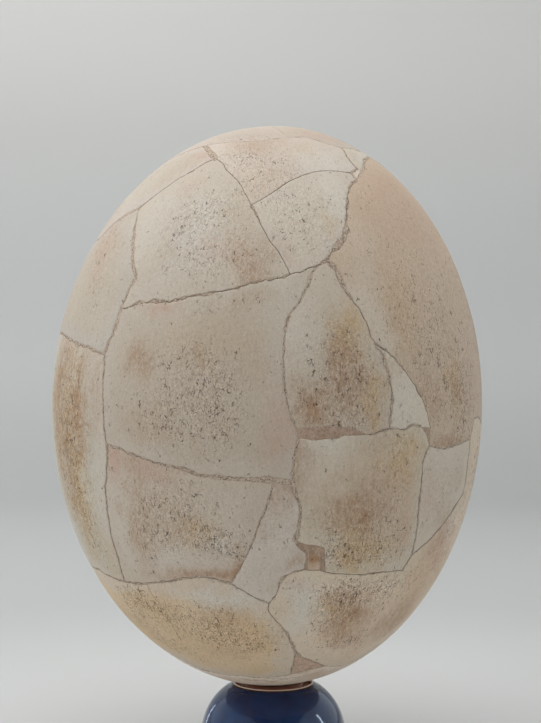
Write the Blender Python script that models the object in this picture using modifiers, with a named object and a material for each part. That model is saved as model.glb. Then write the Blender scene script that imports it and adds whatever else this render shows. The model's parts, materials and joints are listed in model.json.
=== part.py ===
# Elephant bird egg, glued together again from its shards, on a small glazed stand.
# Metres, +Z up. The origin is on the surface under the stand, below the middle of the egg,
# and the side that the photograph shows faces -Y.
import math
import random

import bmesh
import bpy
from mathutils import Matrix, Vector
from mathutils.geometry import delaunay_2d_cdt, intersect_point_line

# The egg
EGG_LENGTH = 0.300
EGG_WIDTH = 0.231
EGG_BOW = 0.0025          # how far the ends bend to the right of the middle
EGG_LEAN = 0.0009         # how far the top leans to the right, and the tip to the left
SHELL = 0.0035            # thickness of the shell

# The joints between shards: width of the gap at the outer surface
HAIR = 0.0006
NARROW = 0.0009
BROAD = 0.0013
WIDE = 0.0018
TOUCH = 0.0003            # clearance between pieces that rest on each other

# The stand
STAND_X = 0.0034          # its axis is a little to the right of the egg's tip
LIP_HEIGHT = 0.050
LIP_RADIUS = 0.0214
LIP_WIDTH = 0.0010
LIP_RISE = 0.0006         # how far the lip stands above the egg's lowest point
SEAT_RADIUS = 0.0155      # the dished seat that carries the egg
GROOVE_DEPTH = 0.0020     # the groove between seat and lip, below the egg's lowest point
EASE = 0.0008             # how far the corners of the groove are eased
LIP_EASE = 0.0004         # and those of the lip
DOME_RADIUS = 0.0304      # radius of the dome's side, seen in profile
DOME_CENTRE = 0.0085      # the middle of that arc, out from the axis
DOME_PARTS = 8
FOOT_RADIUS = 0.0365
FOOT_ROUND = 0.0020
STAND_STEPS = 40

# Spacing of the points along a joint and inside a shard
JOINT_STEP = 0.013
INNER_STEP = 0.0155
EDGE_MARGIN = 0.55        # nearest that an inner point comes to an edge, of INNER_STEP
NEAR_STRAIGHT = 0.2       # sine of a bend that is drawn in as if the outline ran straight on
SAME_PLACE = 1e-7
WANDER = 0.05             # how far an unseen joint strays from a straight run, of its length
SEED = 5

# The photographed view: where the camera stands from the middle of the egg, its focal length
# in pixels, and the pixel that it points at
CAMERA = Vector((0.0019, -0.764, 0.0234))
FOCAL = 1413.0
VIEW_X = 270.5
VIEW_Y = 361.5
HALVINGS = 40             # how often the search along a line of sight halves its step

HALF_WIDTH = EGG_WIDTH / 2
HALF_LENGTH = EGG_LENGTH / 2
LOWEST = LIP_HEIGHT - LIP_RISE
EGG_CENTRE = Vector((0, 0, LOWEST + HALF_LENGTH))


# The egg's formula: a direction on the unit ball, stretched to the egg's size and bent

def on_shell(ball):
    """Point of the outer surface for a point of the unit ball."""
    rise = ball.z
    aside = EGG_BOW * rise * rise + EGG_LEAN * rise
    return EGG_CENTRE + Vector((HALF_WIDTH * ball.x + aside, HALF_WIDTH * ball.y, HALF_LENGTH * rise))


def to_ball(point):
    """Point of the unit ball for a point near the outer surface."""
    local = point - EGG_CENTRE
    rise = local.z / HALF_LENGTH
    aside = EGG_BOW * rise * rise + EGG_LEAN * rise
    return Vector(((local.x - aside) / HALF_WIDTH, local.y / HALF_WIDTH, rise))


def facing(ball):
    """Unit vector that points straight out of the shell."""
    return Vector((ball.x / HALF_WIDTH, ball.y / HALF_WIDTH, ball.z / HALF_LENGTH)).normalized()


def seen(*pixels):
    """Points of the unit ball that the photographed view shows at these pixels."""
    eye = to_ball(EGG_CENTRE + CAMERA)
    found = []
    for across, down in pixels:
        ray = Vector(((across - VIEW_X) / FOCAL, 1, (VIEW_Y - down) / FOCAL))
        middle = EGG_CENTRE + CAMERA + ray * -CAMERA.y
        depth = intersect_point_line(Vector(), eye, to_ball(middle))[1]
        near, far = 0.0, -CAMERA.y * depth
        for _ in range(HALVINGS):
            half = (near + far) / 2
            if to_ball(EGG_CENTRE + CAMERA + ray * half).length > 1:
                near = half
            else:
                far = half
        found.append(to_ball(EGG_CENTRE + CAMERA + ray * far).normalized())
    return found


def around(*places):
    """Points of the unit ball by their turn from the front, in degrees to the right, and their
    height above the middle of the egg."""
    found = []
    for turn, height in places:
        rise = height / HALF_LENGTH
        reach = math.sqrt(1 - rise * rise)
        angle = math.radians(turn)
        found.append(Vector((reach * math.sin(angle), -reach * math.cos(angle), rise)))
    return found


# Where joints meet, first on the side that the photograph shows and then round the back
CORNERS = {
    "crown_left": seen((204, 145)), "crown_middle": seen((289, 137)), "crown_right": seen((342, 147)),
    "brow": seen((216, 158)), "top_fork": seen((251, 205)),
    "chip_left": seen((352, 172)), "chip_top": seen((358, 168)),
    "chip_right": seen((362, 171)), "chip_foot": seen((357, 180)),
    "left_bend": seen((138, 208)), "left_fork": seen((120, 309)), "left_corner": seen((104, 354)),
    "peak": seen((290, 274)), "apex_left": seen((320, 264)), "apex_right": seen((326, 260)),
    "split": seen((375, 342)), "band_top": seen((296, 428)), "band_left": seen((298, 439)),
    "band_right": seen((369, 435)), "belt": seen((390, 429)), "belt_fork": seen((422, 427)),
    "belt_end": seen((431, 428)), "belt_low": seen((430, 446)), "side_right": seen((471, 439)),
    "waist": seen((106, 445)), "tongue_left": seen((274, 481)), "tongue_right": seen((293, 482)),
    "patch_top": seen((295, 541)), "patch_left": seen((304, 570)), "patch_right": seen((326, 573)),
    "red_left": seen((309, 571)), "red_right": seen((320, 571)), "red_top": seen((309, 552)),
    "heel": seen((124, 582)), "knee": seen((231, 584)), "ankle": seen((269, 604)),
    "hip_right": seen((403, 571)), "hip_fork": seen((412, 556)),
    "low_fork": seen((294, 650)), "low_left": seen((291, 675)), "low_right": seen((326, 667)),
    "nape_left": around((-108, 0.120)), "nape": around((176, 0.127)), "nape_right": around((120, 0.122)),
    "shoulder_left": around((-112, 0.074)), "shoulder_right": around((114, 0.090)),
    "back_high": around((167, 0.070)), "back_high_left": around((-150, 0.058)),
    "flank_left": around((-121, 0.022)), "flank_right": around((113, -0.020)),
    "back_left": around((-152, 0.001)), "gap_left": around((-146, -0.012)),
    "gap_right": around((-159, -0.010)), "back_right": around((142, -0.013)),
    "hip_left": around((-107, -0.072)), "back_low_left": around((-164, -0.080)),
    "back_low_right": around((130, -0.088)), "hip_back": around((106, -0.078)),
    "base_left": around((-98, -0.119)), "base_back_left": around((-152, -0.127)),
    "base_back_right": around((143, -0.125)), "base_right": around((92, -0.124)),
}

# Each joint runs from corner to corner: the width of its gap and the points between
JOINTS = {
    ("crown_left", "brow"): (WIDE, seen((208, 150))),
    ("crown_left", "crown_middle"): (HAIR, seen((225, 142), (245, 141), (263, 140))),
    ("crown_middle", "crown_right"): (HAIR, seen((305, 136), (317, 139), (327, 143))),
    ("crown_middle", "nape"): (HAIR, seen((281, 131), (273, 126)) + around((175, 0.149))),
    ("crown_right", "nape_right"): (HAIR, seen((350, 148), (359, 150)) + around((84, 0.131))),
    ("crown_right", "chip_top"): (HAIR, seen((346, 154), (351, 161))),
    ("crown_left", "nape_left"): (NARROW, around((-62, 0.131), (-84, 0.124))),
    ("brow", "left_bend"): (HAIR, seen((208, 161), (190, 171), (171, 183), (153, 196))),
    ("brow", "top_fork"): (HAIR, seen((226, 168), (239, 183), (247, 195))),
    ("top_fork", "chip_left"): (NARROW, seen((262, 199), (277, 189), (291, 180), (311, 172),
                                             (326, 170), (340, 171))),
    ("top_fork", "peak"): (HAIR, seen((262, 226), (271, 241), (280, 254))),
    ("chip_left", "chip_top"): (HAIR, []),
    ("chip_top", "chip_right"): (HAIR, []),
    ("chip_right", "chip_foot"): (HAIR, []),
    ("chip_foot", "chip_left"): (HAIR, []),
    ("chip_right", "shoulder_right"): (NARROW, seen((364, 166), (365, 160), (369, 156))
                                       + around((84, 0.118), (98, 0.101))),
    ("chip_foot", "apex_right"): (WIDE, seen((350, 184), (349, 196), (347, 208), (346, 219),
                                             (348, 229), (343, 241), (333, 251))),
    ("left_bend", "shoulder_left"): (HAIR, seen((130, 212), (113, 223), (99, 238)) + around((-92, 0.080))),
    ("left_bend", "left_fork"): (BROAD, seen((135, 224), (132, 245), (132, 260), (135, 277),
                                             (130, 285), (124, 300))),
    ("left_fork", "left_corner"): (BROAD, seen((116, 324), (112, 336), (106, 346))),
    ("left_fork", "peak"): (NARROW, seen((128, 308), (137, 302), (150, 302), (168, 301), (189, 297),
                                         (206, 294), (236, 288), (261, 282))),
    ("peak", "apex_left"): (NARROW, seen((301, 272), (310, 267))),
    ("apex_left", "apex_right"): (NARROW, []),
    ("left_corner", "flank_left"): (BROAD, seen((97, 352), (85, 346), (73, 342), (61, 333))
                                    + around((-93, 0.033))),
    ("left_corner", "waist"): (HAIR, seen((104, 366), (102, 396), (103, 416), (104, 431))),
    ("apex_left", "band_top"): (BROAD, seen((312, 273), (308, 286), (301, 301), (293, 311), (287, 321),
                                            (285, 345), (284, 360), (286, 385), (288, 403), (293, 419))),
    ("apex_right", "split"): (BROAD, seen((334, 267), (339, 277), (346, 289), (356, 304), (365, 320),
                                          (372, 336))),
    ("split", "belt"): (WIDE, seen((384, 358), (387, 368), (391, 381), (392, 395), (391, 412))),
    ("split", "belt_end"): (NARROW, seen((388, 351), (396, 360), (406, 373), (416, 386), (424, 403),
                                         (428, 414))),
    ("band_top", "band_left"): (BROAD, []),
    ("band_top", "band_right"): (HAIR, seen((310, 427), (330, 426), (350, 428))),
    ("band_left", "band_right"): (HAIR, seen((320, 440), (337, 439), (345, 437))),
    ("band_right", "belt"): (NARROW, seen((382, 430))),
    ("belt", "belt_fork"): (HAIR, seen((406, 429), (412, 425))),
    ("belt_fork", "belt_end"): (HAIR, []),
    ("belt_fork", "belt_low"): (HAIR, seen((427, 436))),
    ("belt_end", "belt_low"): (HAIR, []),
    ("belt_low", "side_right"): (NARROW, seen((444, 449), (456, 445), (465, 442))),
    ("side_right", "flank_right"): (NARROW, seen((473, 428), (475, 418), (479, 416))
                                    + around((93, -0.010))),
    ("waist", "tongue_left"): (BROAD, seen((120, 449), (130, 454), (154, 463), (183, 468), (197, 475),
                                           (226, 479), (254, 480))),
    ("tongue_left", "tongue_right"): (WIDE, []),
    ("band_left", "tongue_right"): (WIDE, seen((296, 450), (294, 463))),
    ("tongue_right", "patch_top"): (WIDE, seen((297, 497), (300, 509), (300, 520), (298, 533))),
    ("waist", "heel"): (HAIR, seen((107, 457), (105, 489), (109, 530), (118, 560))),
    ("tongue_left", "knee"): (NARROW, seen((269, 502), (259, 523), (254, 541), (246, 558), (238, 572))),
    ("heel", "hip_left"): (HAIR, seen((111, 578), (98, 570)) + around((-90, -0.076))),
    ("heel", "knee"): (HAIR, seen((140, 584), (156, 583), (181, 579), (199, 577), (214, 579))),
    ("knee", "ankle"): (HAIR, seen((247, 594))),
    ("patch_top", "patch_left"): (HAIR, seen((297, 548), (305, 555))),
    ("patch_top", "patch_right"): (HAIR, seen((304, 544), (313, 545), (325, 549), (326, 560))),
    ("red_left", "red_top"): (HAIR, []),
    ("red_top", "red_right"): (HAIR, seen((320, 556))),
    ("patch_left", "red_left"): (HAIR, []),
    ("red_left", "red_right"): (HAIR, []),
    ("red_right", "patch_right"): (HAIR, []),
    ("ankle", "patch_left"): (BROAD, seen((277, 593), (279, 584), (286, 577), (295, 572))),
    ("patch_right", "hip_right"): (HAIR, seen((345, 574), (361, 575), (381, 573))),
    ("belt_low", "hip_fork"): (NARROW, seen((426, 456), (423, 464), (422, 484), (419, 515), (416, 538))),
    ("hip_fork", "hip_right"): (HAIR, seen((407, 565))),
    ("side_right", "hip_fork"): (HAIR, seen((469, 459), (467, 479), (464, 494), (456, 507), (448, 519),
                                            (431, 540))),
    ("ankle", "low_fork"): (NARROW, seen((268, 610), (276, 622), (287, 633), (292, 643))),
    ("low_fork", "low_left"): (HAIR, seen((294, 660))),
    ("low_fork", "low_right"): (HAIR, seen((300, 657), (313, 662))),
    ("low_left", "low_right"): (HAIR, seen((302, 673), (314, 670))),
    ("low_left", "base_left"): (HAIR, seen((278, 678), (262, 679), (242, 677), (215, 674), (200, 670))
                                + around((-58, -0.130), (-75, -0.125))),
    ("low_right", "base_right"): (HAIR, seen((344, 666)) + around((66, -0.130))),
    ("nape_left", "nape"): (HAIR, []),
    ("nape", "nape_right"): (HAIR, []),
    ("nape_right", "shoulder_right"): (NARROW, []),
    ("nape_left", "shoulder_left"): (NARROW, []),
    ("shoulder_left", "back_high_left"): (HAIR, []),
    ("back_high_left", "back_high"): (NARROW, []),
    ("back_high", "shoulder_right"): (BROAD, []),
    ("nape", "back_high"): (NARROW, []),
    ("shoulder_left", "flank_left"): (HAIR, []),
    ("back_high_left", "back_left"): (NARROW, []),
    ("back_high", "back_right"): (HAIR, []),
    ("back_high_left", "back_right"): (NARROW, []),
    ("shoulder_right", "flank_right"): (NARROW, []),
    ("flank_left", "gap_left"): (NARROW, []),
    ("back_left", "gap_left"): (HAIR, []),
    ("back_left", "gap_right"): (HAIR, []),
    ("gap_left", "gap_right"): (HAIR, []),
    ("gap_right", "back_right"): (BROAD, []),
    ("back_right", "flank_right"): (NARROW, []),
    ("flank_left", "hip_left"): (HAIR, []),
    ("gap_left", "back_low_left"): (NARROW, []),
    ("back_right", "back_low_right"): (HAIR, []),
    ("flank_right", "hip_back"): (NARROW, []),
    ("hip_left", "back_low_left"): (HAIR, []),
    ("back_low_left", "back_low_right"): (BROAD, []),
    ("back_low_right", "hip_back"): (HAIR, []),
    ("hip_left", "base_left"): (NARROW, []),
    ("back_low_left", "base_back_left"): (HAIR, []),
    ("back_low_right", "base_back_right"): (NARROW, []),
    ("hip_back", "base_right"): (HAIR, []),
    ("base_left", "base_back_left"): (HAIR, []),
    ("base_back_left", "base_back_right"): (NARROW, []),
    ("base_back_right", "base_right"): (HAIR, []),
}

# Colours of the shards, chips and filler, of the glaze, and how rough each finish is
PALE = (0.62, 0.57, 0.49)
CREAM = (0.66, 0.56, 0.46)
BROWN = (0.48, 0.38, 0.28)
OCHRE = (0.55, 0.42, 0.27)
RUST = (0.42, 0.25, 0.15)
FILLER = (0.37, 0.31, 0.26)
GLAZE = (0.012, 0.030, 0.105)
SHELL_ROUGHNESS = 0.6
GLAZE_ROUGHNESS = 0.12
SHARP_ANGLE = math.radians(40)

# Each piece of the shell: its colour and the corners round it, in order
SHARDS = {
    "shard_shoulder_sliver": (CREAM, "crown_left brow left_bend shoulder_left nape_left"),
    "shard_top_front": (CREAM, "crown_left brow top_fork chip_left chip_top crown_right crown_middle"),
    "shard_crown_left": (CREAM, "crown_left crown_middle nape nape_left"),
    "shard_crown_right": (PALE, "crown_middle crown_right nape_right nape"),
    "shard_crown_wedge": (PALE, "crown_right chip_top chip_right shoulder_right nape_right"),
    "shard_upper_left": (PALE, "brow left_bend left_fork peak top_fork"),
    "shard_upper_middle": (PALE, "top_fork peak apex_left apex_right chip_foot chip_left"),
    "shard_left_shoulder": (PALE, "left_bend left_fork left_corner flank_left shoulder_left"),
    "shard_left_flank": (OCHRE, "left_corner waist heel hip_left flank_left"),
    "shard_centre_left": (PALE, "left_fork left_corner waist tongue_left tongue_right band_left"
                                " band_top apex_left peak"),
    "shard_triangle": (BROWN, "apex_left band_top band_right belt split apex_right"),
    "shard_small_sliver": (PALE, "split belt belt_fork belt_end"),
    "shard_right_shoulder": (CREAM, "chip_foot apex_right split belt_end belt_low side_right"
                                    " flank_right shoulder_right chip_right"),
    "shard_lower_left": (CREAM, "waist heel knee tongue_left"),
    "shard_tongue": (PALE, "tongue_left knee ankle patch_left patch_top tongue_right"),
    "shard_centre_right": (BROWN, "band_left tongue_right patch_top patch_right hip_right hip_fork"
                                  " belt_low belt_fork belt band_right"),
    "shard_right_wedge": (PALE, "belt_low hip_fork side_right"),
    "shard_lower_right": (CREAM, "ankle patch_left red_left red_right patch_right hip_right hip_fork"
                                 " side_right flank_right hip_back base_right low_right low_fork"),
    "shard_bottom_left": (OCHRE, "heel hip_left base_left low_left low_fork ankle knee"),
    "shard_bottom_cap": (CREAM, "low_left low_right base_right base_back_right base_back_left"
                                " base_left"),
    "chip_crown": (PALE, "chip_left chip_top chip_right chip_foot"),
    "chip_red": (RUST, "red_left red_top red_right"),
    "fill_tongue_side": (FILLER, "patch_top patch_left red_left red_top red_right patch_right"),
    "fill_triangle_foot": (FILLER, "band_top band_left band_right"),
    "fill_right_corner": (FILLER, "belt_fork belt_end belt_low"),
    "fill_low_gap": (FILLER, "low_fork low_left low_right"),
    "shard_back_top_left": (PALE, "nape_left shoulder_left back_high_left back_high nape"),
    "shard_back_top_right": (CREAM, "nape back_high shoulder_right nape_right"),
    "shard_back_left": (CREAM, "shoulder_left back_high_left back_left gap_left flank_left"),
    "shard_back_middle_high": (BROWN, "back_high_left back_high back_right"),
    "shard_back_middle_low": (PALE, "back_high_left back_right gap_right back_left"),
    "shard_back_right": (PALE, "back_high shoulder_right flank_right back_right"),
    "shard_back_lower_left": (BROWN, "flank_left gap_left back_low_left hip_left"),
    "shard_back_lower_middle": (PALE, "gap_left gap_right back_right back_low_right back_low_left"),
    "shard_back_lower_right": (OCHRE, "back_right flank_right hip_back back_low_right"),
    "shard_back_base_left": (PALE, "hip_left back_low_left base_back_left base_left"),
    "shard_back_base_middle": (OCHRE, "back_low_left back_low_right base_back_right base_back_left"),
    "shard_back_base_right": (CREAM, "back_low_right hip_back base_right base_back_right"),
    "fill_back": (FILLER, "back_left gap_left gap_right"),
}


def stray(start, end, chance):
    """Points between two places on the ball, a step apart, that stray a little from the straight
    run where it is long."""
    span = on_shell(end) - on_shell(start)
    parts = max(1, round(span.length / JOINT_STEP))
    bends = [chance.uniform(-1, 1) / wave for wave in (1, 2, 3, 4, 5)]
    size = WANDER if parts > 2 else 0
    across = start.lerp(end, 0.5).cross(end - start)
    points = []
    for part in range(1, parts):
        along = part / parts
        side = sum(bend * math.sin(math.pi * wave * along) for wave, bend in enumerate(bends, 1))
        points.append((start.lerp(end, along) + across * side * size).normalized())
    return points


def run_joints():
    """Every joint's points from its first corner to its last, and its gap."""
    chance = random.Random(SEED)
    lines = {}
    for (first, last), (gap, between) in JOINTS.items():
        stops = CORNERS[first] + between + CORNERS[last]
        line = [stops[0]]
        for start, end in zip(stops, stops[1:]):
            line += stray(start, end, chance) + [end]
        lines[first, last] = line, gap
        lines[last, first] = line[::-1], gap
    return lines


def outline(corners, lines):
    """Points round a shard, anticlockwise from outside, each with the gap of the step after it."""
    points, gaps = [], []
    for first, last in zip(corners, corners[1:] + corners[:1]):
        line, gap = lines[first, last]
        points += line[:-1]
        gaps += [gap] * (len(line) - 1)
    middle = sum(points, Vector()).normalized()
    turning = sum((a.cross(b).dot(middle) for a, b in zip(points, points[1:] + points[:1])))
    if turning < 0:
        points.reverse()
        gaps = gaps[-2::-1] + gaps[-1:]
    return points, gaps


def draw_in(points, gaps):
    """The outline moved in from its joints, by half of each joint's gap."""
    drawn = []
    count = len(points)
    for here in range(count):
        ball = points[here]
        out = facing(ball)
        place = on_shell(ball)
        before = on_shell(points[here - 1])
        after = on_shell(points[(here + 1) % count])
        inward = out.cross(place - before).normalized()
        inward_next = out.cross(after - place).normalized()
        gap, gap_next = gaps[here - 1] / 2, gaps[here] / 2
        turn = math.atan2(inward.cross(inward_next).dot(out), inward.dot(inward_next))
        if abs(math.sin(turn)) > NEAR_STRAIGHT:
            slide = (gap_next - gap * math.cos(turn)) / math.sin(turn)
            shift = inward * gap + out.cross(inward) * slide
        else:
            shift = (inward + inward_next).normalized() * max(gap, gap_next)
        drawn.append(to_ball(place + shift).normalized())
    return drawn


def chart(points):
    """Axes of a flat map of the ball round the middle of some points."""
    out = sum(points, Vector()).normalized()
    right = out.orthogonal().normalized()
    return Matrix((right, out.cross(right), out))


def to_map(axes, ball):
    """Place on the flat map: true distance and direction from its middle."""
    local = axes @ ball
    flat = local.xy
    angle = math.atan2(flat.length, local.z)
    return flat.normalized() * angle


def from_map(axes, place):
    """Point of the ball for a place on the flat map."""
    angle = place.length
    flat = place.normalized() * math.sin(angle)
    return axes.transposed() @ Vector((flat.x, flat.y, math.cos(angle)))


def holds(ring, place, margin):
    """Whether a place is inside a ring on the map, and not within a margin of it."""
    inside = False
    for start, end in zip(ring, ring[1:] + ring[:1]):
        nearest, along = intersect_point_line(place, start, end)
        nearest = start.lerp(end, min(1, max(0, along)))
        if (place - nearest).length < margin:
            return False
        if (start.y > place.y) != (end.y > place.y):
            if place.x < start.x + (end.x - start.x) * (place.y - start.y) / (end.y - start.y):
                inside = not inside
    return inside


def fill_points(ring):
    """Evenly spaced places inside a ring on the map."""
    step = INNER_STEP / HALF_WIDTH
    row_step = step * math.sqrt(3) / 2
    left, right = min(p.x for p in ring), max(p.x for p in ring)
    low, high = min(p.y for p in ring), max(p.y for p in ring)
    places = []
    for row in range(int((high - low) / row_step) + 1):
        start = left + step * (row % 2) / 2
        for column in range(int((right - left) / step) + 1):
            place = Vector((start + column * step, low + row * row_step))
            if holds(ring, place, step * EDGE_MARGIN):
                places.append(place)
    return places


def material(name, colour, roughness):
    made = bpy.data.materials.get(name)
    if made is None:
        made = bpy.data.materials.new(name)
        made.use_nodes = True
        shader = made.node_tree.nodes["Principled BSDF"]
        shader.inputs["Base Color"].default_value = (*colour, 1)
        shader.inputs["Roughness"].default_value = roughness
        shader.inputs["Metallic"].default_value = 0
        made.diffuse_color = (*colour, 1)
    return made


def add_object(name, mesh, collection, colour, roughness):
    piece = bpy.data.objects.new(name, mesh)
    collection.objects.link(piece)
    mesh.materials.append(material(name + "_finish", colour, roughness))
    return piece


def make_shard(name, colour, ring, collection):
    """One piece of the shell: a sheet on the egg's surface, extruded inwards along the egg's own
    normals, so that the broken edges of neighbours stay parallel."""
    axes = chart(ring)
    flat_ring = [to_map(axes, ball) for ball in ring]
    edges = [(i, (i + 1) % len(ring)) for i in range(len(ring))]
    places = flat_ring + fill_points(flat_ring)
    inside_only = 1
    verts, _, faces, _, _, _ = delaunay_2d_cdt(places, edges, [], inside_only, SAME_PLACE)
    mesh = bpy.data.meshes.new(name)
    mesh.from_pydata([on_shell(from_map(axes, place)) for place in verts], [], faces)
    plate = bmesh.new()
    plate.from_mesh(mesh)
    inner = bmesh.ops.extrude_face_region(plate, geom=plate.faces[:], use_keep_orig=True)["geom"]
    for vert in [part for part in inner if isinstance(part, bmesh.types.BMVert)]:
        vert.co -= facing(to_ball(vert.co)) * SHELL
    bmesh.ops.recalc_face_normals(plate, faces=plate.faces[:])
    plate.to_mesh(mesh)
    plate.free()
    mesh.shade_smooth()
    mesh.set_sharp_from_angle(angle=SHARP_ANGLE)
    add_object(name, mesh, collection, colour, SHELL_ROUGHNESS)


def stand_profile():
    """Half section of the stand, from the axis over the lip and down to the foot."""
    tip_curve = HALF_WIDTH * HALF_WIDTH / HALF_LENGTH
    off_tip = STAND_X - (EGG_BOW - EGG_LEAN)
    seat = [(reach, LOWEST - TOUCH + reach * (reach / 2 - off_tip) / tip_curve)
            for reach in (0, SEAT_RADIUS / 3, SEAT_RADIUS * 2 / 3, SEAT_RADIUS)]
    inner_lip = LIP_RADIUS - LIP_WIDTH
    groove = LOWEST - GROOVE_DEPTH
    well = [(SEAT_RADIUS + EASE, groove + EASE), (SEAT_RADIUS + 2 * EASE, groove),
            (inner_lip - EASE, groove), (inner_lip, groove + EASE),
            (inner_lip, LIP_HEIGHT - LIP_EASE), (inner_lip + LIP_WIDTH / 2, LIP_HEIGHT)]
    start = math.acos((LIP_RADIUS - DOME_CENTRE) / DOME_RADIUS)
    middle = LIP_HEIGHT - LIP_EASE - DOME_RADIUS * math.sin(start)
    dome = [(DOME_CENTRE + DOME_RADIUS * math.cos(angle), middle + DOME_RADIUS * math.sin(angle))
            for angle in (start * (1 - part / DOME_PARTS) for part in range(DOME_PARTS + 1))]
    widest = DOME_CENTRE + DOME_RADIUS
    skirt = [(widest - (widest - FOOT_RADIUS) * part * part, middle + (FOOT_ROUND - middle) * part)
             for part in (0.35, 0.7, 1)]
    corner = FOOT_ROUND * (1 - math.sqrt(0.5))
    foot = [(FOOT_RADIUS - corner, corner), (FOOT_RADIUS - FOOT_ROUND, 0), (0, 0)]
    return seat + well + dome + skirt + foot


def make_stand(collection):
    """The stand, turned about its own axis."""
    profile = stand_profile()
    mesh = bpy.data.meshes.new("stand")
    mesh.from_pydata([(reach, 0, height) for reach, height in profile],
                     [(i, i + 1) for i in range(len(profile) - 1)], [])
    stand = add_object("stand", mesh, collection, GLAZE, GLAZE_ROUGHNESS)
    stand.location.x = STAND_X
    turned = stand.modifiers.new("turned", "SCREW")
    turned.axis = "Z"
    turned.steps = STAND_STEPS
    turned.render_steps = STAND_STEPS
    turned.use_merge_vertices = True
    turned.merge_threshold = 0.0001
    turned.use_smooth_shade = True
    return stand


def clear_scene():
    for old in list(bpy.data.objects):
        bpy.data.objects.remove(old)


def build():
    clear_scene()
    collection = bpy.data.collections.new("elephant_bird_egg")
    bpy.context.scene.collection.children.link(collection)
    lines = run_joints()
    for name, (colour, corners) in SHARDS.items():
        points, gaps = outline(corners.split(), lines)
        make_shard(name, colour, draw_in(points, gaps), collection)
    make_stand(collection)


build()
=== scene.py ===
import json
import math
import random

import bpy
import numpy as np
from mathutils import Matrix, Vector
from mathutils.geometry import delaunay_2d_cdt


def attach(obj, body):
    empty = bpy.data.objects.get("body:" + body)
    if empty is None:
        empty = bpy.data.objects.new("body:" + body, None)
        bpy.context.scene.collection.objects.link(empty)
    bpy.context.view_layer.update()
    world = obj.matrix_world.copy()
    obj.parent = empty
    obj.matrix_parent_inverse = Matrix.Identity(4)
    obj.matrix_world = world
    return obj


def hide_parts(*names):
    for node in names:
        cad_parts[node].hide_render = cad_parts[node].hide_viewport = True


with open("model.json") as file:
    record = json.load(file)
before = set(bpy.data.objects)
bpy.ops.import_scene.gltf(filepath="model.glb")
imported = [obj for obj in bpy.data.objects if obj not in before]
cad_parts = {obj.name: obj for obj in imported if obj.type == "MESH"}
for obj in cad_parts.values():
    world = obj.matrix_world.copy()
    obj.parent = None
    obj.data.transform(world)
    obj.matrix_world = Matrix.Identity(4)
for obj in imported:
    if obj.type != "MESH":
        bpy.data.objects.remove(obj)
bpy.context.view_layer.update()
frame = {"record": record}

mm = 0.001

# the egg's own shape
egg = {
    "halfWidth": 0.1155,
    "halfLength": 0.150,
    "bow": 0.0025,          # the ends bend to the right of the middle
    "lean": 0.0009,         # the top leans right, the tip left
    "centre": np.array([0.0, 0.0, 0.1994]),
    "shell": 3.5 * mm,
    "skin": 0.36 * mm,      # the shards lie this far inside the full round, as the solids' facets do
}
eggScale = np.array([egg["halfWidth"], egg["halfWidth"], egg["halfLength"]])

# the camera of the photograph: place from the egg's middle, focal length and middle in its pixels,
# its height in pixels, and how often the search along a line of sight halves its step
sight = {"eye": np.array([0.0019, -0.764, 0.0234]), "focal": 1413.0, "x": 270.5, "y": 361.5,
         "high": 723, "halvings": 40}


def unit(vectors):
    # each vector divided by its own length
    return vectors / np.maximum(np.linalg.norm(vectors, axis=-1, keepdims=True), 1e-12)


def facing(ball):
    # straight out of the shell: the ball's point divided by the egg's half sizes
    return unit(ball / eggScale)


def onShell(ball, sunk=0.0):
    # the unit ball stretched to the egg's half sizes, its ends bent aside by bow * z * z + lean * z,
    # then moved in along the normal by sunk
    place = ball * eggScale
    place[..., 0] += egg["bow"] * ball[..., 2] ** 2 + egg["lean"] * ball[..., 2]
    return egg["centre"] + place - facing(ball) * np.asarray(sunk)[..., None]


def toBall(places):
    # the same formula backwards
    local = places - egg["centre"]
    rise = local[..., 2] / egg["halfLength"]
    local[..., 0] -= egg["bow"] * rise ** 2 + egg["lean"] * rise
    return local / eggScale


def seen(across, down):
    # the ball's point that the photograph shows at this pixel: the line of sight is halved between
    # the eye and its nearest pass of the middle until it touches the ball
    ray = np.array([(across - sight["x"]) / sight["focal"], 1.0, (sight["y"] - down) / sight["focal"]])
    eye = egg["centre"] + sight["eye"]
    reach = -sight["eye"][1]
    start = toBall(eye.copy())
    run = toBall(eye + ray * reach) - start
    near, far = 0.0, reach * -(run @ start) / (run @ run)
    for step in range(sight["halvings"]):
        half = (near + far) / 2
        if np.linalg.norm(toBall(eye + ray * half)) > 1:
            near = half
        else:
            far = half
    return unit(toBall(eye + ray * far))


def around(turn, height):
    # the ball's point at this turn from the front, in degrees to the right, and height above the middle
    rise = height / egg["halfLength"]
    reach = math.sqrt(1 - rise ** 2)
    turn = math.radians(turn)
    return np.array([reach * math.sin(turn), -reach * math.cos(turn), rise])


def placed(places):
    # points of the ball for a list of places. A place is a pixel of the photographed view or, where
    # the photograph doesn't show it, a turn in degrees and a height in metres, which is under 1
    return np.array([seen(*place) if place[1] > 1 else around(*place) for place in places])


# waves through space: how many are added up, how tight each may be, where it may start, and what their
# sum is divided by to even it out
waveShape = {"count": 14, "tightness": (0.7, 1.6), "starts": (0, 6.3), "evened": 3.2}


def ripple(places, size, seed):
    # smooth random waves: the sines of plane waves near one length, added up to about +-1
    chance = np.random.default_rng(seed)
    count = waveShape["count"]
    waves = unit(chance.normal(size=(count, 3))) * chance.uniform(*waveShape["tightness"], (count, 1))
    waves = waves * 2 * math.pi / size
    heights = np.sin(places @ waves.T + chance.uniform(*waveShape["starts"], count))
    return heights.sum(-1) / waveShape["evened"]


def ramp(values):
    # held between 0 and 1
    return np.clip(values, 0, 1)


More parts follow.
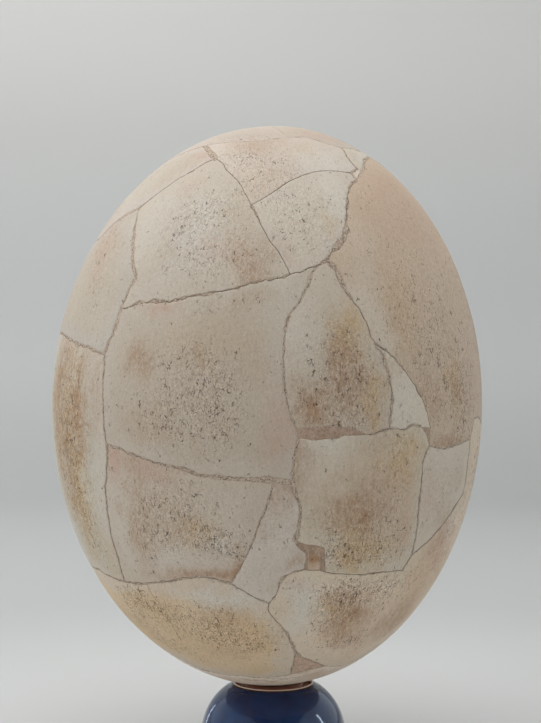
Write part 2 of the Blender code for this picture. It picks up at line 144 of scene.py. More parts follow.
# where joints meet
corner = {
    "crownLeft": (204, 145), "crownMiddle": (289, 137), "crownRight": (342, 147),
    "brow": (216, 158), "topFork": (251, 205), "chipLeft": (352, 172), "chipTop": (358, 168),
    "chipRight": (362, 171), "chipFoot": (357, 180), "leftBend": (138, 208), "leftFork": (120, 309),
    "leftCorner": (104, 354), "peak": (290, 274), "apexLeft": (320, 264), "apexRight": (326, 260),
    "split": (375, 342), "bandTop": (296, 428), "bandLeft": (298, 439), "bandRight": (369, 435),
    "belt": (390, 429), "beltFork": (422, 427), "beltEnd": (431, 428), "beltLow": (430, 446),
    "sideRight": (471, 439), "waist": (106, 445), "tongueLeft": (274, 481),
    "tongueRight": (293, 482), "patchTop": (295, 541), "patchLeft": (304, 570),
    "patchRight": (326, 573), "redLeft": (309, 571), "redRight": (320, 571), "redTop": (309, 552),
    "heel": (124, 582), "knee": (231, 584), "ankle": (269, 604), "hipRight": (403, 571),
    "hipFork": (412, 556), "lowFork": (294, 650), "lowLeft": (291, 675), "lowRight": (326, 667),
    "napeLeft": (-108, 0.12), "nape": (176, 0.127), "napeRight": (120, 0.122),
    "shoulderLeft": (-112, 0.074), "shoulderRight": (114, 0.09), "backHigh": (167, 0.07),
    "backHighLeft": (-150, 0.058), "flankLeft": (-121, 0.022), "flankRight": (113, -0.02),
    "backLeft": (-152, 0.001), "gapLeft": (-146, -0.012), "gapRight": (-159, -0.01),
    "backRight": (142, -0.013), "hipLeft": (-107, -0.072), "backLowLeft": (-164, -0.08),
    "backLowRight": (130, -0.088), "hipBack": (106, -0.078), "baseLeft": (-98, -0.119),
    "baseBackLeft": (-152, -0.127), "baseBackRight": (143, -0.125), "baseRight": (92, -0.124),
}

# from corner to corner: widths of the glue along the joint in mm, how light the glue is (0 a dark
# crack, 1 pale glue), how ragged its edges are, and the places between
joints = {
    "crownLeft brow": ((1.55, 2.34, 2.96), 0.34, 0.3, [(208, 150)]),
    "crownLeft crownMiddle": ((0.33, 0.33, 0.33), 0.78, 0.3, [(225, 142), (245, 141), (263, 140)]),
    "crownMiddle crownRight": ((0.35, 0.4, 0.5), 0.6, 0.3, [(305, 136), (317, 139), (327, 143)]),
    "crownMiddle nape": ((0.35, 0.3), 0.75, 0.3, [(281, 131), (273, 126), (175, 0.149)]),
    "crownRight napeRight": ((0.5, 0.45), 0.35, 0.3, [(350, 148), (359, 150), (84, 0.131)]),
    "crownRight chipTop": ((0.73, 0.73, 1.16), 0.18, 0.4, [(346, 154), (351, 161)]),
    "crownLeft napeLeft": ((0.6, 0.5), 0.5, 0.3, [(-62, 0.131), (-84, 0.124)]),
    "brow leftBend": ((0.61, 0.39, 0.35, 0.39, 0.87), 0.04, 0.3, [(208, 161), (190, 171),
        (171, 183), (153, 196)]),
    "brow topFork": ((0.31, 0.31, 0.31), 0.28, 0.3, [(226, 168), (239, 183), (247, 195)]),
    "topFork chipLeft": ((0.29, 0.46, 0.46, 0.29, 0.29), 0.04, 0.3, [(262, 199), (277, 189),
        (291, 180), (311, 172), (326, 170), (340, 171)]),
    "topFork peak": ((1.6, 0.51, 0.35, 0.35, 0.35), 0.26, 0.3, [(262, 226), (271, 241),
        (280, 254)]),
    "chipLeft chipTop": ((1.01, 1.01), 0.36, 0.6, []),
    "chipTop chipRight": ((0.4, 0.5), 0.5, 0.6, []),
    "chipRight chipFoot": ((0.73, 0.92), 0.72, 0.6, []),
    "chipFoot chipLeft": ((0.95, 0.63), 0.61, 0.6, []),
    "chipRight shoulderRight": ((1.28, 1.71, 1.28, 1.28), 0.49, 0.5, [(364, 166), (365, 160),
        (369, 156), (84, 0.118), (98, 0.101)]),
    "chipFoot apexRight": ((1.1, 0.66, 0.77, 1.1, 2.31, 2.2, 1.21), 0.22, 1.0, [(350, 184),
        (349, 196), (347, 208), (346, 219), (348, 229), (343, 241), (333, 251)]),
    "leftBend shoulderLeft": ((2.18, 1.19, 0.89, 0.8), 0.46, 0.3, [(130, 212), (113, 223),
        (99, 238), (-92, 0.08)]),
    "leftBend leftFork": ((0.66, 0.77, 1.43, 1.87, 1.76, 1.21, 0.99), 0.44, 0.5, [(135, 224),
        (132, 245), (132, 260), (135, 277), (130, 285), (124, 300)]),
    "leftFork leftCorner": ((1.46, 1.75, 1.61), 0.33, 0.4, [(116, 324), (112, 336), (106, 346)]),
    "leftFork peak": ((1.02, 1.24, 1.13, 1.24, 1.02, 0.68, 0.68, 0.68), 0.02, 1.0, [(128, 308),
        (137, 302), (150, 302), (168, 301), (189, 297), (206, 294), (236, 288), (261, 282)]),
    "peak apexLeft": ((0.54, 0.61, 0.75), 0.24, 0.6, [(301, 272), (310, 267)]),
    "apexLeft apexRight": ((1.31, 1.31), 0.02, 0.5, []),
    "leftCorner flankLeft": ((1.43, 1.1, 0.99, 0.88), 0.32, 0.6, [(97, 352), (85, 346), (73, 342),
        (61, 333), (-93, 0.033)]),
    "leftCorner waist": ((1.07, 0.92, 0.92, 1.07, 1.22), 0.36, 0.4, [(104, 366), (102, 396),
        (103, 416), (104, 431)]),
    "apexLeft bandTop": ((1.18, 1.1, 0.79, 0.94, 1.18, 0.79, 0.71, 0.71, 0.87, 1.26), 0.45, 0.6, [
        (312, 273), (308, 286), (301, 301), (293, 311), (287, 321), (285, 345), (284, 360),
        (286, 385), (288, 403), (293, 419)]),
    "apexRight split": ((1.32, 2.31, 1.76, 0.88, 0.77, 0.77, 0.66), 0.3, 0.6, [(334, 267),
        (339, 277), (346, 289), (356, 304), (365, 320), (372, 336)]),
    "split belt": ((0.88, 2.06, 1.66, 1.08, 1.28, 1.47, 1.18), 0.33, 0.9, [(384, 358), (387, 368),
        (391, 381), (392, 395), (391, 412)]),
    "split beltEnd": ((0.7, 0.76, 0.44, 0.38, 0.38, 0.44), 0.26, 0.4, [(388, 351), (396, 360),
        (406, 373), (416, 386), (424, 403), (428, 414)]),
    "bandTop bandLeft": ((0.53, 0.5), 0.57, 0.3, []),
    "bandTop bandRight": ((0.33, 0.33), 0.93, 0.5, [(310, 427), (330, 426), (350, 428)]),
    "bandLeft bandRight": ((0.22, 0.22), 0.95, 0.5, [(320, 440), (337, 439), (345, 437)]),
    "bandRight belt": ((0.9, 0.9), 0.12, 0.6, [(382, 430)]),
    "belt beltFork": ((0.94, 0.94), 0.44, 0.5, [(406, 429), (412, 425)]),
    "beltFork beltEnd": ((0.22, 0.22), 0.95, 0.4, []),
    "beltFork beltLow": ((0.22, 0.22), 0.86, 0.5, [(427, 436)]),
    "beltEnd beltLow": ((0.22, 0.22), 0.95, 0.5, []),
    "beltLow sideRight": ((0.68, 0.78, 0.59), 0.46, 0.4, [(444, 449), (456, 445), (465, 442)]),
    "sideRight flankRight": ((0.7, 0.8, 0.8), 0.5, 0.7, [(473, 428), (475, 418), (479, 416),
        (93, -0.01)]),
    "waist tongueLeft": ((1.38, 1.38, 1.07, 1.22, 1.38, 1.84, 3.06), 0.32, 0.4, [(120, 449),
        (130, 454), (154, 463), (183, 468), (197, 475), (226, 479), (254, 480)]),
    "tongueLeft tongueRight": ((1.97, 2.32), 0.49, 0.3, []),
    "bandLeft tongueRight": ((1.26, 0.81, 1.18), 0.41, 0.4, [(296, 450), (294, 463)]),
    "tongueRight patchTop": ((1.46, 1.01, 1.1, 1.46, 2.56), 0.45, 0.4, [(297, 497), (300, 509),
        (300, 520), (298, 533)]),
    "waist heel": ((1.46, 0.97, 0.81, 0.81, 0.81), 0.07, 0.3, [(107, 457), (105, 489), (109, 530),
        (118, 560)]),
    "tongueLeft knee": ((1.03, 0.82, 0.62, 0.51, 0.62), 0.46, 0.4, [(269, 502), (259, 523),
        (254, 541), (246, 558), (238, 572)]),
    "heel hipLeft": ((0.84, 0.7), 0.02, 0.4, [(111, 578), (98, 570), (-90, -0.076)]),
    "heel knee": ((1.02, 0.94, 1.02, 1.18), 0.25, 0.4, [(140, 584), (156, 583), (181, 579),
        (199, 577), (214, 579)]),
    "knee ankle": ((0.7, 0.6, 0.9), 0.38, 0.4, [(247, 594)]),
    "patchTop patchLeft": ((0.22, 0.22), 0.91, 0.5, [(297, 548), (305, 555)]),
    "patchTop patchRight": ((0.22, 0.22), 0.95, 0.5, [(304, 544), (313, 545), (325, 549),
        (326, 560)]),
    "redLeft redTop": ((0.23, 0.23), 0.95, 0.4, []),
    "redTop redRight": ((0.22, 0.22), 0.95, 0.4, [(320, 556)]),
    "patchLeft redLeft": ((0.5, 0.4), 0.5, 0.4, []),
    "redLeft redRight": ((0.43, 0.35), 0.27, 0.4, []),
    "redRight patchRight": ((0.22, 0.24), 0.75, 0.4, []),
    "ankle patchLeft": ((0.8, 0.98, 1.07, 0.89), 0.36, 0.8, [(277, 593), (279, 584), (286, 577),
        (295, 572)]),
    "patchRight hipRight": ((0.45, 0.54, 0.72, 0.41), 0.03, 0.5, [(345, 574), (361, 575),
        (381, 573)]),
    "beltLow hipFork": ((1.04, 0.77, 0.77, 0.9, 1.16), 0.23, 0.5, [(426, 456), (423, 464),
        (422, 484), (419, 515), (416, 538)]),
    "hipFork hipRight": ((1.24, 1.24), 0.14, 0.5, [(407, 565)]),
    "sideRight hipFork": ((0.74, 0.81, 0.81, 0.74), 0.02, 0.3, [(469, 459), (467, 479), (464, 494),
        (456, 507), (448, 519), (431, 540)]),
    "ankle lowFork": ((0.66, 0.49, 0.66, 1.39, 1.22), 0.36, 0.5, [(268, 610), (276, 622),
        (287, 633), (292, 643)]),
    "lowFork lowLeft": ((0.79, 0.5), 0.48, 0.5, [(294, 660)]),
    "lowFork lowRight": ((1.27, 0.85), 0.42, 0.4, [(300, 657), (313, 662)]),
    "lowLeft lowRight": ((0.4, 0.4), 0.6, 0.4, [(302, 673), (314, 670)]),
    "lowLeft baseLeft": ((0.5, 0.5, 0.45), 0.25, 0.4, [(278, 678), (262, 679), (242, 677),
        (215, 674), (200, 670), (-58, -0.13), (-75, -0.125)]),
    "lowRight baseRight": ((0.5, 0.45), 0.3, 0.4, [(344, 666), (66, -0.13)]),
    "napeLeft nape": ((0.5, 0.5), 0.4, 0.4, []),
    "nape napeRight": ((0.45, 0.5), 0.35, 0.4, []),
    "napeRight shoulderRight": ((0.7, 0.9), 0.45, 0.5, []),
    "napeLeft shoulderLeft": ((0.8, 0.7), 0.5, 0.4, []),
    "shoulderLeft backHighLeft": ((0.5, 0.6), 0.3, 0.4, []),
    "backHighLeft backHigh": ((0.9, 0.7), 0.45, 0.5, []),
    "backHigh shoulderRight": ((1.6, 1.0, 1.3), 0.5, 0.6, []),
    "nape backHigh": ((0.7, 0.9), 0.4, 0.4, []),
    "shoulderLeft flankLeft": ((0.5, 0.6), 0.35, 0.4, []),
    "backHighLeft backLeft": ((0.9, 0.7), 0.45, 0.5, []),
    "backHigh backRight": ((0.5, 0.5), 0.25, 0.4, []),
    "backHighLeft backRight": ((0.9, 0.7), 0.45, 0.7, []),
    "shoulderRight flankRight": ((0.8, 0.7), 0.4, 0.5, []),
    "flankLeft gapLeft": ((0.8, 0.9), 0.5, 0.5, []),
    "backLeft gapLeft": ((0.4, 0.4), 0.4, 0.4, []),
    "backLeft gapRight": ((0.4, 0.4), 0.4, 0.4, []),
    "gapLeft gapRight": ((0.4, 0.4), 0.4, 0.4, []),
    "gapRight backRight": ((1.5, 1.0, 1.3), 0.5, 0.7, []),
    "backRight flankRight": ((0.9, 0.7), 0.45, 0.5, []),
    "flankLeft hipLeft": ((0.5, 0.6), 0.3, 0.4, []),
    "gapLeft backLowLeft": ((0.9, 0.7), 0.45, 0.5, []),
    "backRight backLowRight": ((0.5, 0.5), 0.3, 0.4, []),
    "flankRight hipBack": ((0.8, 0.7), 0.45, 0.4, []),
    "hipLeft backLowLeft": ((0.5, 0.5), 0.35, 0.4, []),
    "backLowLeft backLowRight": ((1.4, 1.0, 1.2), 0.5, 0.6, []),
    "backLowRight hipBack": ((0.5, 0.5), 0.3, 0.4, []),
    "hipLeft baseLeft": ((0.8, 0.7), 0.4, 0.4, []),
    "backLowLeft baseBackLeft": ((0.5, 0.5), 0.3, 0.4, []),
    "backLowRight baseBackRight": ((0.8, 0.7), 0.45, 0.4, []),
    "hipBack baseRight": ((0.5, 0.5), 0.35, 0.4, []),
    "baseLeft baseBackLeft": ((0.5, 0.5), 0.35, 0.4, []),
    "baseBackLeft baseBackRight": ((0.8, 0.7), 0.4, 0.4, []),
    "baseBackRight baseRight": ((0.5, 0.5), 0.3, 0.4, []),
}

# how a joint is drawn between its places
jointLine = {
    "step": 0.6 * mm,
    "unseenStep": 0.013,       # unseen joints stray between points this far apart
    "stray": 0.05,
    "straySeed": 5,
    "softening": 4,            # rounds of averaging that take the corners off the traced points
    "wander": ((7 * mm, 0.22 * mm), (2.5 * mm, 0.13 * mm), (1.1 * mm, 0.07 * mm)),   # length, size
    "wanderSeed": 100,
    "taper": 3 * mm,           # the wander dies away this near to a corner
    "leastWander": 0.6,        # of a joint that isn't ragged
    "swell": 0.45,             # how far a ragged joint's width comes and goes
    "swellLength": 2.2 * mm,
    "finest": 0.2 * mm,
    "widest": 3.2 * mm,
}


def waver(arc, spacing, size, chance):
    # random wander along a line: a random height every spacing, joined up straight
    knots = np.arange(-spacing, arc[-1] + 2 * spacing, spacing)
    return np.interp(arc, knots, chance.normal(0, size, len(knots)))


def lengthAlong(line):
    # each point's distance from the start: its steps added up
    return np.concatenate([[0], np.cumsum(np.linalg.norm(np.diff(line, axis=0), axis=1))])


def strayPoints(start, end, chance):
    # points between two stops, off the straight run by five sine waves of falling size
    away = float(np.linalg.norm(onShell(end) - onShell(start)))
    parts = max(1, round(away / jointLine["unseenStep"]))
    bends = [chance.uniform(-1, 1) / wave for wave in (1, 2, 3, 4, 5)]
    along = np.arange(1, parts)[:, None] / parts
    side = sum(bend * np.sin(math.pi * wave * along) for wave, bend in enumerate(bends, 1))
    size = jointLine["stray"] if parts > 2 else 0
    across = np.cross((start + end) / 2, end - start)
    return unit(start + (end - start) * along + across * side * size)


def traceJoints():
    # every joint as a fine line: its stops, softened, then wandering a little across its own run
    chance = random.Random(jointLine["straySeed"])
    lines = {}
    for number, (ends, (widths, tone, rough, between)) in enumerate(joints.items()):
        first, last = ends.split()
        stops = placed([corner[first], *between, corner[last]])
        balls = [stops[:1]]
        for start, end in zip(stops[:-1], stops[1:]):
            balls += [strayPoints(start, end, chance), end[None]]
        line = onShell(np.vstack(balls))
        arc = lengthAlong(line)
        even = np.linspace(0, arc[-1], max(3, round(arc[-1] / jointLine["step"]) + 1))
        fine = np.stack([np.interp(even, arc, line[:, k]) for k in range(3)], -1)
        for again in range(jointLine["softening"]):
            fine[1:-1] = (fine[:-2] + 2 * fine[1:-1] + fine[2:]) / 4
        fineChance = np.random.default_rng(jointLine["wanderSeed"] + number)
        side = unit(np.cross(facing(toBall(fine.copy())), np.gradient(fine, axis=0)))
        taper = ramp(np.minimum(even, even[-1] - even) / jointLine["taper"])
        shift = sum(waver(even, spacing, size, fineChance) for spacing, size in jointLine["wander"])
        fine += side * (shift * taper * (jointLine["leastWander"] + rough))[:, None]
        along = even / even[-1]
        half = np.interp(along, np.linspace(0, 1, len(widths)), widths) * mm / 2
        half *= 1 + jointLine["swell"] * rough * waver(even, jointLine["swellLength"], 1, fineChance)
        half = np.clip(half, jointLine["finest"] / 2, jointLine["widest"] / 2)
        ball = unit(toBall(fine))
        lines[first, last] = ball, half, tone
        lines[last, first] = ball[::-1], half[::-1], tone
    return lines


def chart(balls):
    # axes of a flat map round the middle of some points, from an axis that leans well away from it
    out = unit(balls.mean(0))
    right = unit(np.cross(out, [0.3, 0.1, 1.0] if abs(out[2]) < 0.9 else [1.0, 0.2, 0.1]))
    return np.array([right, np.cross(out, right), out])


def toMap(axes, balls):
    # true distance and direction from the map's middle, on a ball as wide as the egg, in metres
    local = balls @ axes.T
    angle = np.arctan2(np.linalg.norm(local[:, :2], axis=1), local[:, 2])
    return unit(local[:, :2]) * angle[:, None] * egg["halfWidth"]


def fromMap(axes, places):
    # the same backwards: the distance is an angle from the middle, and the direction stays
    angle = np.linalg.norm(places, axis=1, keepdims=True) / egg["halfWidth"]
    return np.hstack([unit(places) * np.sin(angle), np.cos(angle)]) @ axes


def toLine(places, line, batch=600):
    # how far each place is from a closed line, which step of the line is nearest, and how far along it
    run = np.roll(line, -1, 0) - line
    length = np.maximum((run * run).sum(-1), 1e-18)
    found = []
    for first in range(0, len(places), batch):
        gap = places[first:first + batch, None] - line
        along = ramp((gap * run).sum(-1) / length)
        away = np.linalg.norm(gap - along[..., None] * run, axis=-1)
        nearest = away.argmin(1)
        rows = np.arange(len(nearest))
        found.append((away[rows, nearest], nearest, along[rows, nearest]))
    return [np.concatenate(column) for column in zip(*found)]


def insideRing(places, ring):
    # a place is inside where a level ray from it crosses the ring an odd number of times
    start, end = ring, np.roll(ring, -1, 0)
    crossing = (start[:, 1] > places[:, 1, None]) != (end[:, 1] > places[:, 1, None])
    rise = end[:, 1] - start[:, 1]
    slope = (end[:, 0] - start[:, 0]) / np.where(rise == 0, 1, rise)
    at = start[:, 0] + slope * (places[:, 1, None] - start[:, 1])
    return (crossing & (places[:, 0, None] < at)).sum(1) % 2 == 1


def cross2(a, b):
    # upright part of the cross product of two level vectors
    return a[..., 0] * b[..., 1] - a[..., 1] * b[..., 0]


def uncrossed(ring):
    # which of a ring's points to keep so that no two of its sides cross: sides p + t r and q + u s
    # cross where t and u both lie between 0 and 1, and the shorter way round between them is left out
    kept = np.arange(len(ring))
    while True:
        line = ring[kept]
        run = np.roll(line, -1, 0) - line
        gap = line[None] - line[:, None]
        turn = cross2(run[:, None], run[None])
        turn = np.where(np.abs(turn) < 1e-18, np.inf, turn)
        along, other = cross2(gap, run[None]) / turn, cross2(gap, run[:, None]) / turn
        crossing = np.argwhere(np.triu((along > 0) & (along < 1) & (other > 0) & (other < 1), 2))
        crossing = crossing[(crossing[:, 1] - crossing[:, 0]) < len(line) - 1]
        if not len(crossing):
            return kept
        first, last = crossing[0]
        between = np.zeros(len(line), bool)
        between[first + 1:last + 1] = True
        kept = kept[between if between.sum() > len(line) / 2 else ~between]


def evenPlaces(ring, step):
    # a grid of even triangles over the ring's box
    low, high = ring.min(0), ring.max(0)
    rows = np.arange(low[1], high[1], step * math.sqrt(3) / 2)
    x, y = np.meshgrid(np.arange(low[0], high[0], step), rows)
    x = x + (np.arange(len(rows))[:, None] % 2) * step / 2
    return np.stack([x.ravel(), y.ravel()], -1)


def joinPlaces(ring, places):
    # triangles over the ring and the places inside it; the ring's own points come first
    points = np.vstack([ring, places])
    edges = [(i, (i + 1) % len(ring)) for i in range(len(ring))]
    made = delaunay_2d_cdt([Vector(point) for point in points / mm], edges, [], 1, 1e-6)
    flat, faces = np.array([vert[:] for vert in made[0]]) * mm, np.array(made[2])
    a, b, c = flat[faces[:, 0]], flat[faces[:, 1]], flat[faces[:, 2]]
    turned = cross2(b - a, c - a) < 0
    faces[turned] = faces[turned][:, ::-1]
    return flat, faces


def edgesOf(faces):
    # open edges in their own direction: those that no neighbour has the other way round
    sides = np.vstack([faces[:, [0, 1]], faces[:, [1, 2]], faces[:, [2, 0]]]).astype(np.int64)
    many = faces.max() + 1
    return sides[~np.isin(sides[:, 0] * many + sides[:, 1], sides[:, 1] * many + sides[:, 0])]


# how a soft spot's outline wanders: length of the waves, how far they push, and their seed; and how
# steeply the spot falls off, and how much of that the distance through the shell counts for
spotWander = ((16 * mm, 1.8 * mm, 31), (5 * mm, 0.7 * mm, 41))
spotShape = {"fall": 1.3, "through": 0.5}
kinds = ("brown", "ochre", "rose", "pits", "pale")


def spots(balls, look):
    # how strong each kind of mark is at each point. A mark is a bell curve on the shell, wide and high
    # along the egg's own level and upright lines; the places are pushed about by two sizes of wave first
    places = onShell(balls)
    for size, push, seed in spotWander:
        places = places + push * np.stack([ripple(places, size, seed + k) for k in range(3)], -1)
    found = {kind: np.zeros(len(places)) for kind in kinds}
    for kind in kinds:
        for across, up, wide, high, strength, *turn in look.get(kind, []):
            ball = placed([(across, up)])[0]
            out = facing(ball)
            level = unit(np.cross([0, 0, 1], out))
            upright = np.cross(out, level)
            turn = math.radians(turn[0]) if turn else 0.0
            cos, sin = math.cos(turn), math.sin(turn)
            away = places - onShell(ball)
            x = (away @ (level * cos + upright * sin)) / (wide * mm)
            y = (away @ (upright * cos - level * sin)) / (high * mm)
            z = (away @ out) / (min(wide, high) * mm)
            away = x * x + y * y + z * z * spotShape["through"]
            found[kind] += strength * np.exp(-away ** spotShape["fall"])
    return found


def hairlines(balls, cracks):
    # how far each point is to the side of the nearest straight crack, in mm; past a crack's ends the
    # distance is pushed away from zero, so that the crack stops there
    places = onShell(balls)
    nearest = np.full(len(places), 9.0)      # far from any crack
    for ends in cracks:
        start, end = onShell(placed(ends))
        length = np.linalg.norm(end - start)
        run = (end - start) / length
        side = np.cross(facing(toBall((start + end) / 2)), run)
        across = (places - start) @ side / mm
        along = (places - start) @ run
        past = np.maximum(np.maximum(-along, along - length), 0) / mm
        found = across + np.where(across < 0, -1, 1) * past
        nearest = np.where(np.abs(found) < np.abs(nearest), found, nearest)
    return nearest


